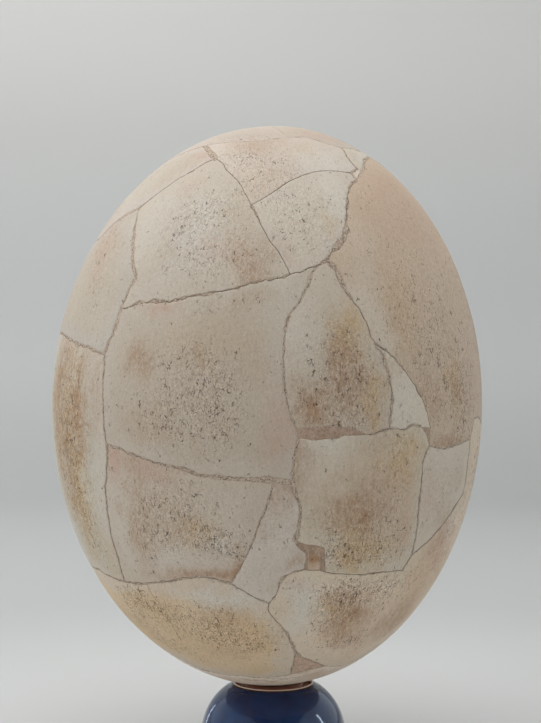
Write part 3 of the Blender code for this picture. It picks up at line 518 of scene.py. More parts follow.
# the shards. Tones: the rubbed margin, the plain shell, and a second tone that clouds it; the lowest
# shards' tones are also painted light, paler to make up for the little light that reaches the egg's
# underside. Each
# mark: place, half width and half height in mm, strength, and the degrees it is turned by if it is. Pale
# marks lighten and pits are speckled with pores; cracks are fine lines from place to place
shards = {
    "shard_shoulder_sliver": {
        "corners": "crownLeft brow leftBend shoulderLeft napeLeft",
        "tones": "#c4b9ae #c3b9aa #bfb4a5",
        "ochre": [(-104, 0.095, 16, 8, 0.3)],
        "rose": [(190, 165, 30, 10, 0.1, 30), (-90, 0.1, 26, 12, 0.5), (202, 153, 10, 5, 0.44)],
        "pits": [(190, 168, 20, 8, 0.12, 30), (-96, 0.095, 30, 10, 0.45)],
    },
    "shard_top_front": {
        "corners": "crownLeft brow topFork chipLeft chipTop crownRight crownMiddle",
        "tones": "#cbbfb2 #ccbfb1 #c7baac",
        "brown": [(256, 141, 14, 14, 0.44), (256, 197, 10, 5, 0.22), (280, 173, 4, 4, 0.23)],
        "ochre": [(258, 180, 16, 10, 0.16), (304, 149, 10, 6, 0.24, 40)],
        "pale": [(325, 160, 16, 12, 0.56)],
        "pits": [(262, 172, 28, 16, 0.5), (240, 155, 14, 8, 0.48)],
    },
    "shard_crown_left": {
        "corners": "crownLeft crownMiddle nape napeLeft",
        "tones": "#c4b7ab #c0b4a7 #beb2a5",
        "brown": [(-150, 0.137, 20, 14, 0.45), (248, 138, 4, 4, 0.25)],
        "rose": [(-100, 0.138, 20, 12, 0.3)],
        "pits": [(-150, 0.137, 24, 18, 0.6), (240, 138, 22, 8, 0.38)],
    },
    "shard_crown_right": {
        "corners": "crownMiddle crownRight napeRight nape",
        "tones": "#c2b6a8 #c1b5a7 #bfb3a6",
        "ochre": [(150, 0.138, 22, 14, 0.5)],
        "rose": [(320, 134, 22, 12, 0.3)],
        "pits": [(140, 0.135, 24, 18, 0.5)],
    },
    "shard_crown_wedge": {
        "corners": "crownRight chipTop chipRight shoulderRight napeRight",
        "tones": "#cbc0af #c6bdb0 #c4b9ac",
        "brown": [(105, 0.112, 14, 8, 0.35)],
        "pale": [(364, 158, 10, 6, 0.44, 40)],
        "pits": [(100, 0.115, 14, 8, 0.5)],
    },
    "shard_upper_left": {
        "corners": "brow leftBend leftFork peak topFork",
        "tones": "#c5baab #c7beb1 #c4b9a9",
        "brown": [(247, 262, 11, 11, 0.51), (262, 276, 8, 5, 0.35, -10), (168, 250, 5, 5, 0.27),
            (257, 237, 14, 8, 0.17), (145, 269, 14, 8, 0.11), (193, 285, 10, 5, 0.1)],
        "ochre": [(240, 215, 8, 22, 0.12)],
        "rose": [(215, 250, 14, 9, 0.3), (190, 188, 10, 7, 0.25, 20)],
        "pale": [(150, 225, 12, 26, 0.26), (201, 229, 8, 16, 0.37), (249, 269, 4, 4, 0.13),
            (217, 261, 10, 5, 0.12)],
        "pits": [(205, 212, 20, 15, 0.63), (225, 258, 26, 14, 0.49), (178, 240, 14, 14, 0.3)],
    },
    "shard_upper_middle": {
        "corners": "topFork peak apexLeft apexRight chipFoot chipLeft",
        "tones": "#cbc0b2 #cfc5b6 #ccc2b2",
        "brown": [(282, 254, 10, 6, 0.21, -40)],
        "ochre": [(330, 222, 5, 10, 0.35)],
        "rose": [(300, 232, 12, 10, 0.15)],
        "pale": [(335, 195, 8, 20, 0.46)],
        "pits": [(298, 205, 18, 16, 0.52), (310, 240, 16, 12, 0.35)],
    },
    "shard_left_shoulder": {
        "corners": "leftBend leftFork leftCorner flankLeft shoulderLeft",
        "tones": "#bfb5a8 #c1b5a4 #bdb09f",
        "brown": [(-100, 0.045, 14, 16, 0.3), (-108, 0.048, 20, 10, 0.35)],
        "rose": [(105, 245, 10, 22, 0.39, 20), (-85, 0.05, 20, 20, 0.3)],
        "pale": [(98, 328, 14, 14, 0.22), (130, 232, 8, 16, 0.1), (130, 224, 10, 6, 0.14, -40),
            (122, 264, 5, 10, 0.09)],
        "pits": [(100, 265, 14, 30, 0.34, 20), (-100, 0.05, 34, 14, 0.5)],
    },
    "shard_left_flank": {
        "corners": "leftCorner waist heel hipLeft flankLeft",
        "tones": "#cbc1b3 #cbc6b9 #c3baab",
        "brown": [(76, 400, 8, 20, 0.6), (70, 470, 9, 30, 0.32), (98, 390, 8, 16, 0.32),
            (82, 422, 14, 8, 0.4), (90, 366, 8, 16, 0.23), (66, 358, 14, 14, 0.24),
            (82, 454, 8, 8, 0.45), (82, 390, 10, 5, 0.16), (60, 410, 14, 44, 0.3),
            (56, 415, 12, 40, 0.36)],
        "ochre": [(72, 430, 12, 46, 0.6), (82, 520, 12, 30, 0.39, -12), (-95, -0.01, 16, 30, 0.5),
            (114, 566, 8, 16, 0.31), (98, 534, 10, 6, 0.12, -40), (58, 425, 13, 44, 0.45)],
        "rose": [(-100, -0.05, 14, 20, 0.4)],
        "pale": [(98, 502, 14, 14, 0.08)],
        "pits": [(72, 440, 12, 40, 0.83), (90, 530, 10, 20, 0.43), (60, 440, 16, 60, 0.6)],
    },
    "shard_centre_left": {
        "corners": "leftFork leftCorner waist tongueLeft tongueRight bandLeft bandTop apexLeft "
                   "peak",
        "tones": "#c3b8a9 #c2b5a4 #bdae9d",
        "brown": [(140, 358, 9, 9, 0.58), (150, 425, 12, 12, 0.24), (252, 296, 11, 6, 0.28),
            (203, 357, 4, 6, 0.34), (257, 364, 8, 16, 0.25), (185, 452, 10, 6, 0.14, 40)],
        "ochre": [(205, 340, 26, 14, 0.15)],
        "rose": [(280, 425, 8, 22, 0.46), (162, 307, 12, 4, 0.53)],
        "pale": [(265, 370, 7, 26, 0.11), (281, 284, 8, 16, 0.22)],
        "pits": [(215, 392, 13, 20, 0.59), (178, 380, 20, 18, 0.5), (205, 432, 20, 12, 0.38),
            (160, 425, 14, 12, 0.44), (225, 303, 14, 5, 0.42)],
    },
    "shard_triangle": {
        "corners": "apexLeft bandTop bandRight belt split apexRight",
        "tones": "#c8bcac #c8bdac #bfaf9c",
        "brown": [(345, 362, 9, 18, 0.66, 15), (362, 400, 11, 14, 0.22), (313, 418, 8, 11, 0.59),
            (335, 400, 12, 16, 0.5), (304, 387, 10, 5, 0.55)],
        "ochre": [(352, 330, 11, 16, 0.59, -15), (372, 400, 8, 16, 0.58)],
        "rose": [(338, 285, 4, 9, 0.19, 20)],
        "pale": [(308, 340, 9, 24, 0.34, 10), (352, 395, 8, 16, 0.22), (336, 331, 10, 5, 0.11)],
        "pits": [(350, 385, 18, 28, 0.5), (330, 395, 22, 36, 0.23)],
    },
    "shard_small_sliver": {
        "corners": "split belt beltFork beltEnd",
        "tones": "#d5cab9 #d8cebd #d5cab7",
        "brown": [(400, 368, 14, 8, 0.33)],
        "ochre": [(392, 384, 10, 5, 0.1)],
        "pale": [(405, 400, 10, 16, 0.32)],
        "pits": [(408, 415, 4, 6, 0.38)],
    },
    "shard_right_shoulder": {
        "corners": "chipFoot apexRight split beltEnd beltLow sideRight flankRight shoulderRight "
                   "chipRight",
        "tones": "#c8b59f #c7b39e #c3ae97",
        "brown": [(402, 320, 6, 10, 0.2), (456, 397, 5, 12, 0.46), (428, 398, 14, 12, 0.36),
            (450, 443, 16, 4, 0.57), (341, 277, 8, 16, 0.15), (450, 438, 17, 3, 0.36),
            (381, 261, 5, 10, 0.11), (94, 0.055, 34, 34, 0.4)],
        "ochre": [(400, 310, 14, 30, 0.21, -10), (455, 390, 9, 18, 0.55),
            (80, 0.085, 22, 14, 0.35)],
        "rose": [(400, 205, 34, 26, 0.36, -20), (100, 0.03, 24, 40, 0.4)],
        "pale": [(358, 300, 9, 24, 0.38, -25), (453, 405, 8, 16, 0.21), (381, 333, 8, 16, 0.45),
            (357, 237, 10, 6, 0.12, 40), (104, 0.01, 26, 16, 0.4)],
        "pits": [(395, 250, 30, 40, 0.17), (432, 350, 26, 40, 0.48), (465, 400, 16, 30, 0.71),
            (88, 0.05, 45, 46, 0.65)],
        "cracks": [((466, 404), (463, 430))],
    },
    "shard_lower_left": {
        "corners": "waist heel knee tongueLeft",
        "tones": "#c6b8a8 #cdc3b4 #c7baab",
        "brown": [(165, 515, 22, 18, 0.39), (238, 565, 7, 10, 0.26, 30), (212, 574, 22, 3, 0.64),
            (140, 541, 8, 16, 0.5), (132, 469, 8, 16, 0.31), (220, 525, 5, 10, 0.13),
            (208, 580, 27, 2.2, 0.42, 3), (240, 566, 3.5, 9, 0.34, 22), (234, 577, 8, 5, 0.24),
            (172, 579, 18, 3, 0.34), (243, 560, 3, 9, 0.34, -25)],
        "ochre": [(196, 533, 14, 8, 0.36)],
        "rose": [(113, 460, 5, 10, 0.79), (148, 468, 16, 5, 0.53, -15), (205, 577, 24, 4, 0.3)],
        "pale": [(115, 520, 5, 26, 0.36), (228, 549, 14, 8, 0.19), (172, 565, 14, 8, 0.31)],
        "pits": [(168, 510, 24, 16, 0.7), (155, 545, 16, 8, 0.53), (222, 543, 14, 9, 0.91)],
    },
    "shard_tongue": {
        "corners": "tongueLeft knee ankle patchLeft patchTop tongueRight",
        "tones": "#d1c6ba #cfc5b8 #c7bdae",
        "brown": [(297, 562, 4, 6, 0.56), (277, 486, 8, 16, 0.41), (261, 526, 10, 6, 0.22, -40),
            (277, 574, 5, 10, 0.15), (293, 486, 10, 6, 0.32, -40), (293, 526, 4, 4, 0.23),
            (269, 590, 10, 5, 0.08)],
        "pale": [(277, 518, 4, 4, 0.14)],
        "pits": [(280, 530, 10, 24, 0.1)],
    },
    "shard_centre_right": {
        "corners": "bandLeft tongueRight patchTop patchRight hipRight hipFork beltLow beltFork "
                   "belt bandRight",
        "tones": "#d1c6b4 #d0c0aa #cab39c",
        "brown": [(372, 508, 11, 13, 0.43), (366, 492, 18, 18, 0.22), (297, 469, 8, 16, 0.81),
            (337, 517, 14, 14, 0.46), (377, 437, 14, 8, 0.23), (369, 525, 10, 6, 0.25, 40),
            (337, 565, 4, 4, 0.18), (313, 445, 4, 4, 0.12)],
        "ochre": [(405, 458, 13, 18, 0.53), (353, 557, 8, 16, 0.61), (377, 557, 8, 16, 0.26)],
        "pale": [(325, 460, 14, 16, 0.47), (393, 493, 14, 14, 0.19)],
        "pits": [(355, 556, 26, 7, 0.62), (398, 480, 14, 26, 0.29), (332, 545, 7, 14, 0.44),
            (375, 535, 22, 14, 0.52)],
    },
    "shard_right_wedge": {
        "corners": "beltLow hipFork sideRight",
        "tones": "#d3c7b6 #d2c4b4 #cec0af",
        "brown": [(444, 519, 10, 6, 0.36, -40), (460, 479, 10, 6, 0.2, 40), (436, 511, 4, 4, 0.09),
            (436, 495, 4, 4, 0.08)],
        "rose": [(428, 495, 10, 6, 0.3, -40)],
        "pits": [(438, 500, 12, 16, 0.23)],
    },
    "shard_lower_right": {
        "corners": "ankle patchLeft redLeft redRight patchRight hipRight hipFork sideRight "
                   "flankRight hipBack baseRight lowRight lowFork",
        # painted light: these tones are partly made paler for the little light that reaches the
        # underside
        "tones": "#dbcbb5 #e8d7c3 #dac3aa",
        "brown": [(350, 622, 17, 14, 0.62, 20), (345, 595, 12, 6, 0.49),
            (395, 620, 18, 14, 0.59, 40), (98, -0.09, 14, 10, 0.3), (457, 474, 14, 14, 0.4),
            (345, 610, 10, 6, 0.34, -40), (345, 642, 10, 6, 0.35, -40), (84, -0.035, 26, 20, 0.4)],
        "ochre": [(425, 575, 18, 26, 0.25, 30), (90, -0.06, 20, 22, 0.4),
            (329, 610, 10, 6, 0.86, -40), (281, 610, 14, 8, 0.32)],
        "rose": [(440, 545, 12, 22, 0.72, 30), (293, 590, 5, 8, 0.52)],
        "pale": [(300, 610, 11, 18, 1.03), (476, 470, 6, 26, 0.5), (100, -0.02, 18, 14, 0.4),
            (450, 522, 6, 12, 0.3, 30)],
        "pits": [(358, 592, 26, 9, 0.93), (330, 620, 9, 16, 0.72), (395, 590, 22, 12, 0.38, 20),
            (345, 645, 12, 8, 0.77), (445, 545, 10, 20, 0.39, 30), (82, -0.04, 36, 34, 0.6)],
    },
    "shard_bottom_left": {
        "corners": "heel hipLeft baseLeft lowLeft lowFork ankle knee",
        # painted light: these tones are partly made paler for the little light that reaches the
        # underside
        "tones": "#d4c5b2 #dac2a2 #d4bb98",
        "brown": [(-88, -0.1, 14, 14, 0.4), (224, 614, 14, 14, 0.5), (232, 654, 14, 8, 0.22),
            (248, 598, 10, 5, 0.16), (200, 582, 5, 10, 0.13), (140, 612, 6, 16, 0.16, -40),
            (150, 632, 24, 8, 0.16, -42)],
        "ochre": [(215, 638, 34, 13, 0.15, -12), (165, 615, 18, 12, 0.17, -30),
            (268, 640, 12, 12, 0.18)],
        "rose": [(185, 592, 26, 6, 0.23)],
        "pale": [(220, 600, 26, 7, 1.01), (184, 622, 14, 14, 0.14)],
        "pits": [(205, 628, 34, 14, 0.79, -12), (150, 606, 12, 8, 0.71, -20),
            (245, 645, 20, 10, 0.46), (133, 602, 9, 20, 0.52, -35), (122, 590, 6, 10, 0.42, -20),
            (128, 625, 8, 16, 0.5, -40), (165, 655, 16, 8, 0.5, -25), (146, 622, 16, 8, 0.5, -42),
            (180, 650, 22, 8, 0.5, -28)],
        "cracks": [((146, 584), (151, 595)), ((151, 595), (161, 607)), ((168, 619), (180, 640))],
    },
    "shard_bottom_cap": {
        "corners": "lowLeft lowRight baseRight baseBackRight baseBackLeft baseLeft",
        # painted light: these tones are made paler for the little light that reaches the underside
        "tones": "#efe2d1 #e5d2bc #e3cfbb",
        "brown": [(150, -0.137, 20, 14, 0.65), (-120, -0.136, 16, 10, 0.39), (264, 672, 4, 4, 0.3),
            (258, 682, 16, 1.6, 0.52, -3), (303, 673, 14, 1.8, 0.52, 12),
            (282, 677, 22, 1.2, 0.39, 4)],
        "rose": [(330, 672, 16, 6, 0.3), (288, 672, 10, 6, 0.77, 40)],
        "pits": [(150, -0.137, 26, 18, 0.5), (285, 679, 36, 5, 0.35)],
        "cracks": [((262, 679), (300, 678))],
    },
    "chip_crown": {
        "corners": "chipLeft chipTop chipRight chipFoot",
        "tones": "#d8cbbd #d6cabb #d1c5b7",
    },
    "chip_red": {
        "corners": "redLeft redTop redRight",
        "tones": "#ccaf99 #bc9a7d #b28b6b",
        "brown": [(310, 558, 3, 4, 1.31), (312, 556, 10, 6, 1.47, 40)],
        "ochre": [(312, 556, 10, 6, 0.55, 40)],
        "pale": [(319, 569, 2.5, 2.5, 0.3)],
    },
    "shard_back_top_left": {
        "corners": "napeLeft shoulderLeft backHighLeft backHigh nape",
        "tones": "#d1c5b4 #d0c3b0 #ccb399",
        "brown": [(-150, 0.092, 24, 14, 0.45)],
        "ochre": [(-140, 0.095, 20, 12, 0.4)],
        "rose": [(-122, 0.098, 14, 12, 0.5)],
        "pale": [(178, 0.1, 10, 16, 0.4)],
        "pits": [(-148, 0.095, 28, 18, 0.7)],
    },
    "shard_back_top_right": {
        "corners": "nape backHigh shoulderRight napeRight",
        "tones": "#d0c1ae #cebda6 #ccb292",
        "brown": [(150, 0.095, 12, 8, 0.3)],
        "ochre": [(140, 0.1, 26, 14, 0.5)],
        "pits": [(145, 0.1, 26, 14, 0.5)],
    },
    "shard_back_left": {
        "corners": "shoulderLeft backHighLeft backLeft gapLeft flankLeft",
        "tones": "#ccc0af #c8bba8 #c6b096",
        "brown": [(-132, 0.034, 16, 16, 0.5)],
        "rose": [(-140, 0.055, 14, 8, 0.4)],
        "pale": [(-148, 0.015, 8, 20, 0.4)],
        "pits": [(-134, 0.03, 20, 20, 0.75)],
    },
    "shard_back_middle_high": {
        "corners": "backHighLeft backHigh backRight",
        "tones": "#c8bba9 #c0b29d #bea282",
        "brown": [(172, 0.04, 18, 14, 0.8)],
        "ochre": [(158, 0.045, 8, 20, 0.5)],
        "pits": [(172, 0.04, 20, 18, 0.7)],
    },
    "shard_back_middle_low": {
        "corners": "backHighLeft backRight gapRight backLeft",
        "tones": "#c9bfae #c2b8a7 #bdaa94",
        "brown": [(-168, 0.012, 18, 10, 0.4)],
        "ochre": [(176, 0.02, 26, 10, 0.4)],
        "pale": [(170, -0.002, 16, 6, 0.4)],
        "pits": [(-165, 0.015, 24, 12, 0.8), (-178, -0.01, 20, 10, 0.5)],
    },
    "shard_back_right": {
        "corners": "backHigh shoulderRight flankRight backRight",
        "tones": "#cdc0ae #c9bba7 #c7b092",
        "brown": [(133, 0.03, 20, 22, 0.45), (140, 0.05, 12, 18, 0.4)],
        "ochre": [(128, 0.055, 18, 14, 0.4)],
        "rose": [(122, 0.0, 14, 10, 0.4)],
        "pale": [(150, 0.05, 10, 20, 0.4), (126, 0.01, 16, 14, 0.4)],
        "pits": [(133, 0.03, 24, 30, 0.7)],
    },
    "shard_back_lower_left": {
        "corners": "flankLeft gapLeft backLowLeft hipLeft",
        "tones": "#c7baa7 #bfb09a #bda07d",
        "brown": [(-134, -0.042, 22, 20, 0.8)],
        "ochre": [(-118, -0.03, 12, 22, 0.5)],
        "pits": [(-134, -0.045, 24, 24, 0.8)],
    },
    "shard_back_lower_middle": {
        "corners": "gapLeft gapRight backRight backLowRight backLowLeft",
        "tones": "#c8bdad #c0b5a4 #bba68d",
        "brown": [(172, -0.048, 26, 14, 0.5), (155, -0.035, 12, 12, 0.4),
            (-172, -0.055, 26, 16, 0.4)],
        "ochre": [(170, -0.05, 22, 18, 0.35)],
        "rose": [(-160, -0.06, 10, 14, 0.5)],
        "pale": [(-158, -0.03, 10, 10, 0.5)],
        "pits": [(168, -0.05, 32, 18, 0.8), (178, -0.05, 40, 24, 0.5)],
    },
    "shard_back_lower_right": {
        "corners": "backRight flankRight hipBack backLowRight",
        "tones": "#c7baa7 #bfb09a #bda27f",
        "brown": [(126, -0.04, 12, 12, 0.4)],
        "ochre": [(124, -0.05, 18, 20, 0.9)],
        "pits": [(124, -0.05, 20, 22, 0.7)],
    },
    "shard_back_base_left": {
        "corners": "hipLeft backLowLeft baseBackLeft baseLeft",
        "tones": "#c5b9a8 #bbae9b #b79f83",
        "brown": [(-130, -0.104, 20, 12, 0.45)],
        "rose": [(-115, -0.095, 10, 12, 0.4)],
        "pits": [(-132, -0.104, 24, 12, 0.7)],
    },
    "shard_back_base_middle": {
        "corners": "backLowLeft backLowRight baseBackRight baseBackLeft",
        "tones": "#c5b7a4 #bbab94 #b89c77",
        "brown": [(155, -0.105, 12, 8, 0.4)],
        "ochre": [(168, -0.108, 30, 12, 0.9)],
        "pits": [(168, -0.106, 30, 12, 0.8)],
    },
    "shard_back_base_right": {
        "corners": "backLowRight hipBack baseRight baseBackRight",
        "tones": "#c5b9a8 #bbae9b #b8a084",
        "brown": [(118, -0.108, 16, 12, 0.4)],
        "pits": [(118, -0.108, 20, 12, 0.6)],
    },
}

# filler in the gaps: tones are its plain colour and one that clouds it, sunk is in metres
fillers = {
    "fill_tongue_side": {"corners": "patchTop patchLeft redLeft redTop redRight patchRight",
                         "tones": "#b89e89 #a38974", "sunk": 0.16 * mm},
    "fill_triangle_foot": {"corners": "bandTop bandLeft bandRight",
                           "tones": "#b79e8b #a48a77", "sunk": 0.08 * mm},
    "fill_right_corner": {"corners": "beltFork beltEnd beltLow",
                          "tones": "#bba48e #aa917c", "sunk": 0.08 * mm},
    "fill_low_gap": {"corners": "lowFork lowLeft lowRight",
                     "tones": "#d2b7a2 #bb9d88", "sunk": 0.12 * mm},
    "fill_back": {"corners": "backLeft gapLeft gapRight",
                  "tones": "#b4a393 #a08b7a", "sunk": 0.20 * mm},
}

shardShape = {
    "rings": (0.3 * mm, 0.7 * mm, 1.3 * mm, 2.2 * mm),   # rows of points inside the broken edge
    "rowGap": 0.8 * mm,        # least spacing of the points in a row
    "inner": 2.6 * mm,         # spacing of the points further in
    "innerClear": 0.35,        # their least distance from the last row, as a share of that
    "rowTight": 0.97,          # how much of its distance from the joint a row's point must have
    "edgeTight": 0.93,
    "edgeDrop": 0.10 * mm,     # the broken edge is rubbed down this far beside a joint with much glue
    "bareDrop": 0.12,          # and this share of it beside a hair joint
    "edgeWidth": 0.7 * mm,
    "edgeWave": (3 * mm, 12),  # length and seed of the waves that the rubbing comes and goes in
    "edgeWaves": 0.4,          # and how far it does
    "chipDrop": 0.28 * mm,     # small flakes gone from the edge
    "chipWidth": 1.6 * mm,
    "chipWave": (9 * mm, 11),
    "chipRare": 0.9,           # a flake is gone where its wave is above this
    "sway": 0.06 * mm,         # slow waves of the surface
    "swayWave": (38 * mm, 13),
    "step": 0.10 * mm,         # how far a shard may sit out of true with its neighbours
    "gluedFrom": 0.22,         # glue is smeared on the edge from this half width of the joint, in mm
    "gluedOver": 0.3,          # and fully from this much more
}


def ringOf(corners, lines):
    # the joints round a piece, end to end, turning anticlockwise as seen from outside
    names = corners.split()
    runs = [lines[ends] for ends in zip(names, names[1:] + names[:1])]
    balls = np.vstack([ball[:-1] for ball, half, tone in runs])
    halves = np.concatenate([half[:-1] for ball, half, tone in runs])
    turning = np.cross(balls, np.roll(balls, -1, 0)).sum(0) @ balls.mean(0)
    return (balls[::-1], halves[::-1]) if turning < 0 else (balls, halves)


def drawnIn(balls, halves, extra, tight):
    # the ring moved in by half its glue's width and a bit more; points that come too near to
    # another stretch of the ring are dropped
    line = onShell(balls)
    along = np.roll(line, -1, 0) - np.roll(line, 1, 0)
    inward = unit(np.cross(facing(balls), along))
    moved = unit(toBall(line + inward * (halves + extra)[:, None]))
    far, which, share = toLine(onShell(moved), line)
    needed = halves[which] * (1 - share) + np.roll(halves, -1)[which] * share + extra
    return moved[far > needed * tight]


def thinned(balls, spacing):
    # points of a row that are at least about this far apart
    line = onShell(balls)
    arc = np.cumsum(np.linalg.norm(line - np.roll(line, 1, 0), axis=1))
    return balls[np.diff(np.floor(arc / spacing), prepend=-1) > 0]


def swayed(places):
    # how far the slow waves push the surface in: sway * (1 + wave)
    return shardShape["sway"] * (1 + ripple(places, *shardShape["swayWave"]))


def sheetPlaces(balls, halves, axes):
    # the broken edge, and the places inside it on the flat map: rows that follow the edge, then a grid
    edge = drawnIn(balls, halves, 0.0, shardShape["edgeTight"])
    edge = edge[uncrossed(toMap(axes, edge))]
    ring = toMap(axes, edge)
    places = []
    for depth in shardShape["rings"]:
        row = drawnIn(balls, halves, depth, shardShape["rowTight"])
        if len(row) > 3:
            places.append(toMap(axes, thinned(row, max(shardShape["rowGap"], depth))))
    grid = evenPlaces(ring, shardShape["inner"])
    grid = grid[insideRing(grid, ring)]
    if len(grid):
        away = toLine(onShell(fromMap(axes, grid)), onShell(edge))[0]
        clear = shardShape["rings"][-1] + shardShape["innerClear"] * shardShape["inner"]
        places.append(grid[away > clear])
    places = np.vstack(places) if places else np.zeros((0, 2))
    return edge, ring, places[insideRing(places, ring)]


def makeSheet(name, look, lines, seed):
    # a closed sheet of shell: an outer face, an inner face, and the broken edge between them. The
    # outer face lies under the full round by: skin + sunk + rubbed edge + flakes + slow waves + tilt
    balls, halves = ringOf(look["corners"], lines)
    axes = chart(balls)
    edge, ring, places = sheetPlaces(balls, halves, axes)
    flat, faces = joinPlaces(ring, places)
    ball = unit(fromMap(axes, flat))
    full = onShell(ball)
    rim = toLine(full, onShell(edge))[0]
    nearest = toLine(full, onShell(balls))[1]
    glued = ramp((halves[nearest] / mm - shardShape["gluedFrom"]) / shardShape["gluedOver"])
    rubbed = ramp(1 - rim / shardShape["edgeWidth"]) ** 2 * shardShape["edgeDrop"]
    rubbed = rubbed * (shardShape["bareDrop"] + (1 - shardShape["bareDrop"]) * glued)
    rubbed = rubbed * (1 + shardShape["edgeWaves"] * ripple(full, *shardShape["edgeWave"]))
    flake = ramp(1 - rim / shardShape["chipWidth"])
    flake = flake * ramp(ripple(full, *shardShape["chipWave"]) - shardShape["chipRare"])
    slope = flat @ np.random.default_rng(seed).normal(0, 1, 2) / max(np.ptp(flat, axis=0).max(), 1e-6)
    depth = (egg["skin"] + look.get("sunk", 0.0) + rubbed + flake * shardShape["chipDrop"]
             + swayed(full) + shardShape["step"] * (0.5 + np.clip(slope, -0.5, 0.5)))
    inner = onShell(ball, np.full(len(ball), egg["shell"]))
    count = len(ball)
    a, b = edgesOf(faces).T
    walls = np.vstack([np.stack([b, a, a + count], -1), np.stack([b, a + count, b + count], -1)])
    triangles = np.vstack([faces, faces[:, ::-1] + count, walls])
    piece = addMesh(name, np.vstack([onShell(ball, depth), inner]), triangles.tolist())
    found = spots(ball, look)
    paint(piece, "rim", np.tile(rim / mm, 2))
    paint(piece, "grain", np.tile(grainPlace(ball), (2, 1)))
    paint(piece, "stains", np.tile(np.stack([found[kind] for kind in kinds[:3]], -1), (2, 1)))
    paint(piece, "wear", np.tile(np.stack([found["pits"], found["pale"], glued], -1), (2, 1)))
    paint(piece, "hairline", np.tile(hairlines(ball, look.get("cracks", [])), 2))
    return piece


# the drum that the grain is laid on, in mm: its side's length over its turn, its ends' half width,
# and how much wider it is in the middle
grainDrum = {"side": 133, "ends": 95, "swell": 20}


def grainPlace(ball):
    # where a point is along the egg's grain, in mm: round the egg on an even drum, and up its side
    turn = np.arctan2(ball[:, 0], -ball[:, 1])
    side = np.arcsin(np.clip(ball[:, 2], -1, 1)) * grainDrum["side"]
    drum = grainDrum["ends"] + grainDrum["swell"] * np.sqrt(ramp(1 - ball[:, 2] ** 2))
    return np.stack([drum * np.sin(turn), drum * np.cos(turn), side], -1)


def addMesh(name, places, faces):
    # a smooth-shaded mesh from its points and its faces' point numbers
    mesh = bpy.data.meshes.new(name)
    mesh.from_pydata(places.tolist(), [], faces)
    mesh.polygons.foreach_set("use_smooth", np.ones(len(mesh.polygons), bool))
    mesh.update()
    return hang(bpy.data.objects.new(name, mesh))


def hang(item):
    # puts an object into the scene
    bpy.context.scene.collection.objects.link(item)
    return item


def paint(piece, name, values):
    # writes a number or a vector at each point of the mesh, for the material to read
    kind, field = ("FLOAT_VECTOR", "vector") if values.ndim > 1 else ("FLOAT", "value")
    layer = piece.data.attributes.new(name, kind, "POINT")
    layer.data.foreach_set(field, values.astype(np.float32).ravel())


def closedRows(rows, cols, first=0):
    # point numbers of a grid whose rows close on themselves, and the quads between its rows
    index = np.arange(rows * cols).reshape(rows, cols) + first
    a, b = index[:-1], index[1:]
    return index, np.stack([a, b, np.roll(b, -1, 1), np.roll(a, -1, 1)], -1).reshape(-1, 4).tolist()


glue = {
    "tuck": 0.14 * mm,        # how far it runs in under the shards' edges
    "below": 0.10 * mm,       # its surface below that of the shards
    "depth": 3.2 * mm,
    "lump": 0.04 * mm,
    "lumpWave": (1.8 * mm, 21),
    "stagger": 0.01 * mm,     # each strip lies a little deeper than the last, over seven depths
    "across": np.array([-1, -0.6, 0, 0.6, 1.0]),     # points over a strip, in half widths
    "runOn": 0.1,             # metres from one joint's place in the pattern to the next one's
}


def makeGlue(lines):
    # a flat-topped strip carried along each joint: its half width follows the joint, and both ends
    # run on a little so that strips meet at the corners
    places, faces, seams, tones, count = [], [], [], [], 0
    for number, ends in enumerate(joints):
        ball, half, tone = lines[tuple(ends.split())]
        line = onShell(ball)
        run = unit(np.gradient(line, axis=0))
        line = np.vstack([line[0] - run[0] * half[0], line, line[-1] + run[-1] * half[-1]])
        half = np.concatenate([half[:1], half, half[-1:]])
        side = unit(np.cross(facing(unit(toBall(line.copy()))), np.gradient(line, axis=0)))
        offset = (half + glue["tuck"])[:, None] * glue["across"]
        strip = line[:, None] + side[:, None] * offset[..., None]
        stripBall = unit(toBall(strip.copy()))
        lump = glue["lump"] * ripple(strip, *glue["lumpWave"]) + glue["stagger"] * (number % 7)
        top = onShell(stripBall, egg["skin"] + glue["below"] + swayed(strip) + lump)
        base = onShell(stripBall[:, [0, -1]], np.full((len(line), 2), glue["depth"]))
        block = np.concatenate([top, base[:, ::-1]], 1)      # round the section: five on top, two below
        index, quads = closedRows(*block.shape[:2], count)
        faces += quads + [index[0].tolist(), index[-1][::-1].tolist()]
        places.append(block.reshape(-1, 3))
        run = lengthAlong(line) + number * glue["runOn"]
        seam = np.stack(np.broadcast_arrays(offset, run[:, None], half[:, None]), -1) / mm
        seams.append(np.concatenate([seam, seam[:, [-1, 0]]], 1).reshape(-1, 3))
        tones.append(np.full(index.size, tone))
        count += index.size
    piece = addMesh("glue_lines", np.vstack(places), faces)
    paint(piece, "seam", np.vstack(seams))
    paint(piece, "tone", np.concatenate(tones))
    return piece


stand = {
    "x": 3.4 * mm,
    "lipHeight": 50 * mm, "lipRadius": 21.4 * mm, "lipWidth": 0.8 * mm, "lipRise": 0.6 * mm,
    "seatRadius": 15.5 * mm, "seatTouch": 0.3 * mm, "grooveDepth": 2.0 * mm, "ease": 0.8 * mm,
    "domeRadius": 30.4 * mm, "domeCentre": 8.5 * mm, "domeDrop": 0.4 * mm,
    "footRadius": 36.5 * mm, "footRound": 2.0 * mm, "footFlat": 20 * mm,
    "neckDrop": 1.9 * mm, "neckDent": 0.28 * mm,    # the shallow ring turned into the dome
    "neckWidth": 0.55 * mm,
    "steps": 220,
    # points along each run of the section
    "seatPoints": 14, "bendPoints": 6, "lipPoints": 9, "domePoints": 60, "skirtPoints": 16,
    "footPoints": 7,
    "lipTurn": 0.86,          # share of a half turn that the lip is rounded through
    "skirtFrom": 0.05,        # the run below the dome starts this share of the way down
    "footFrom": 0.15,         # and the foot's rounding at this angle
}


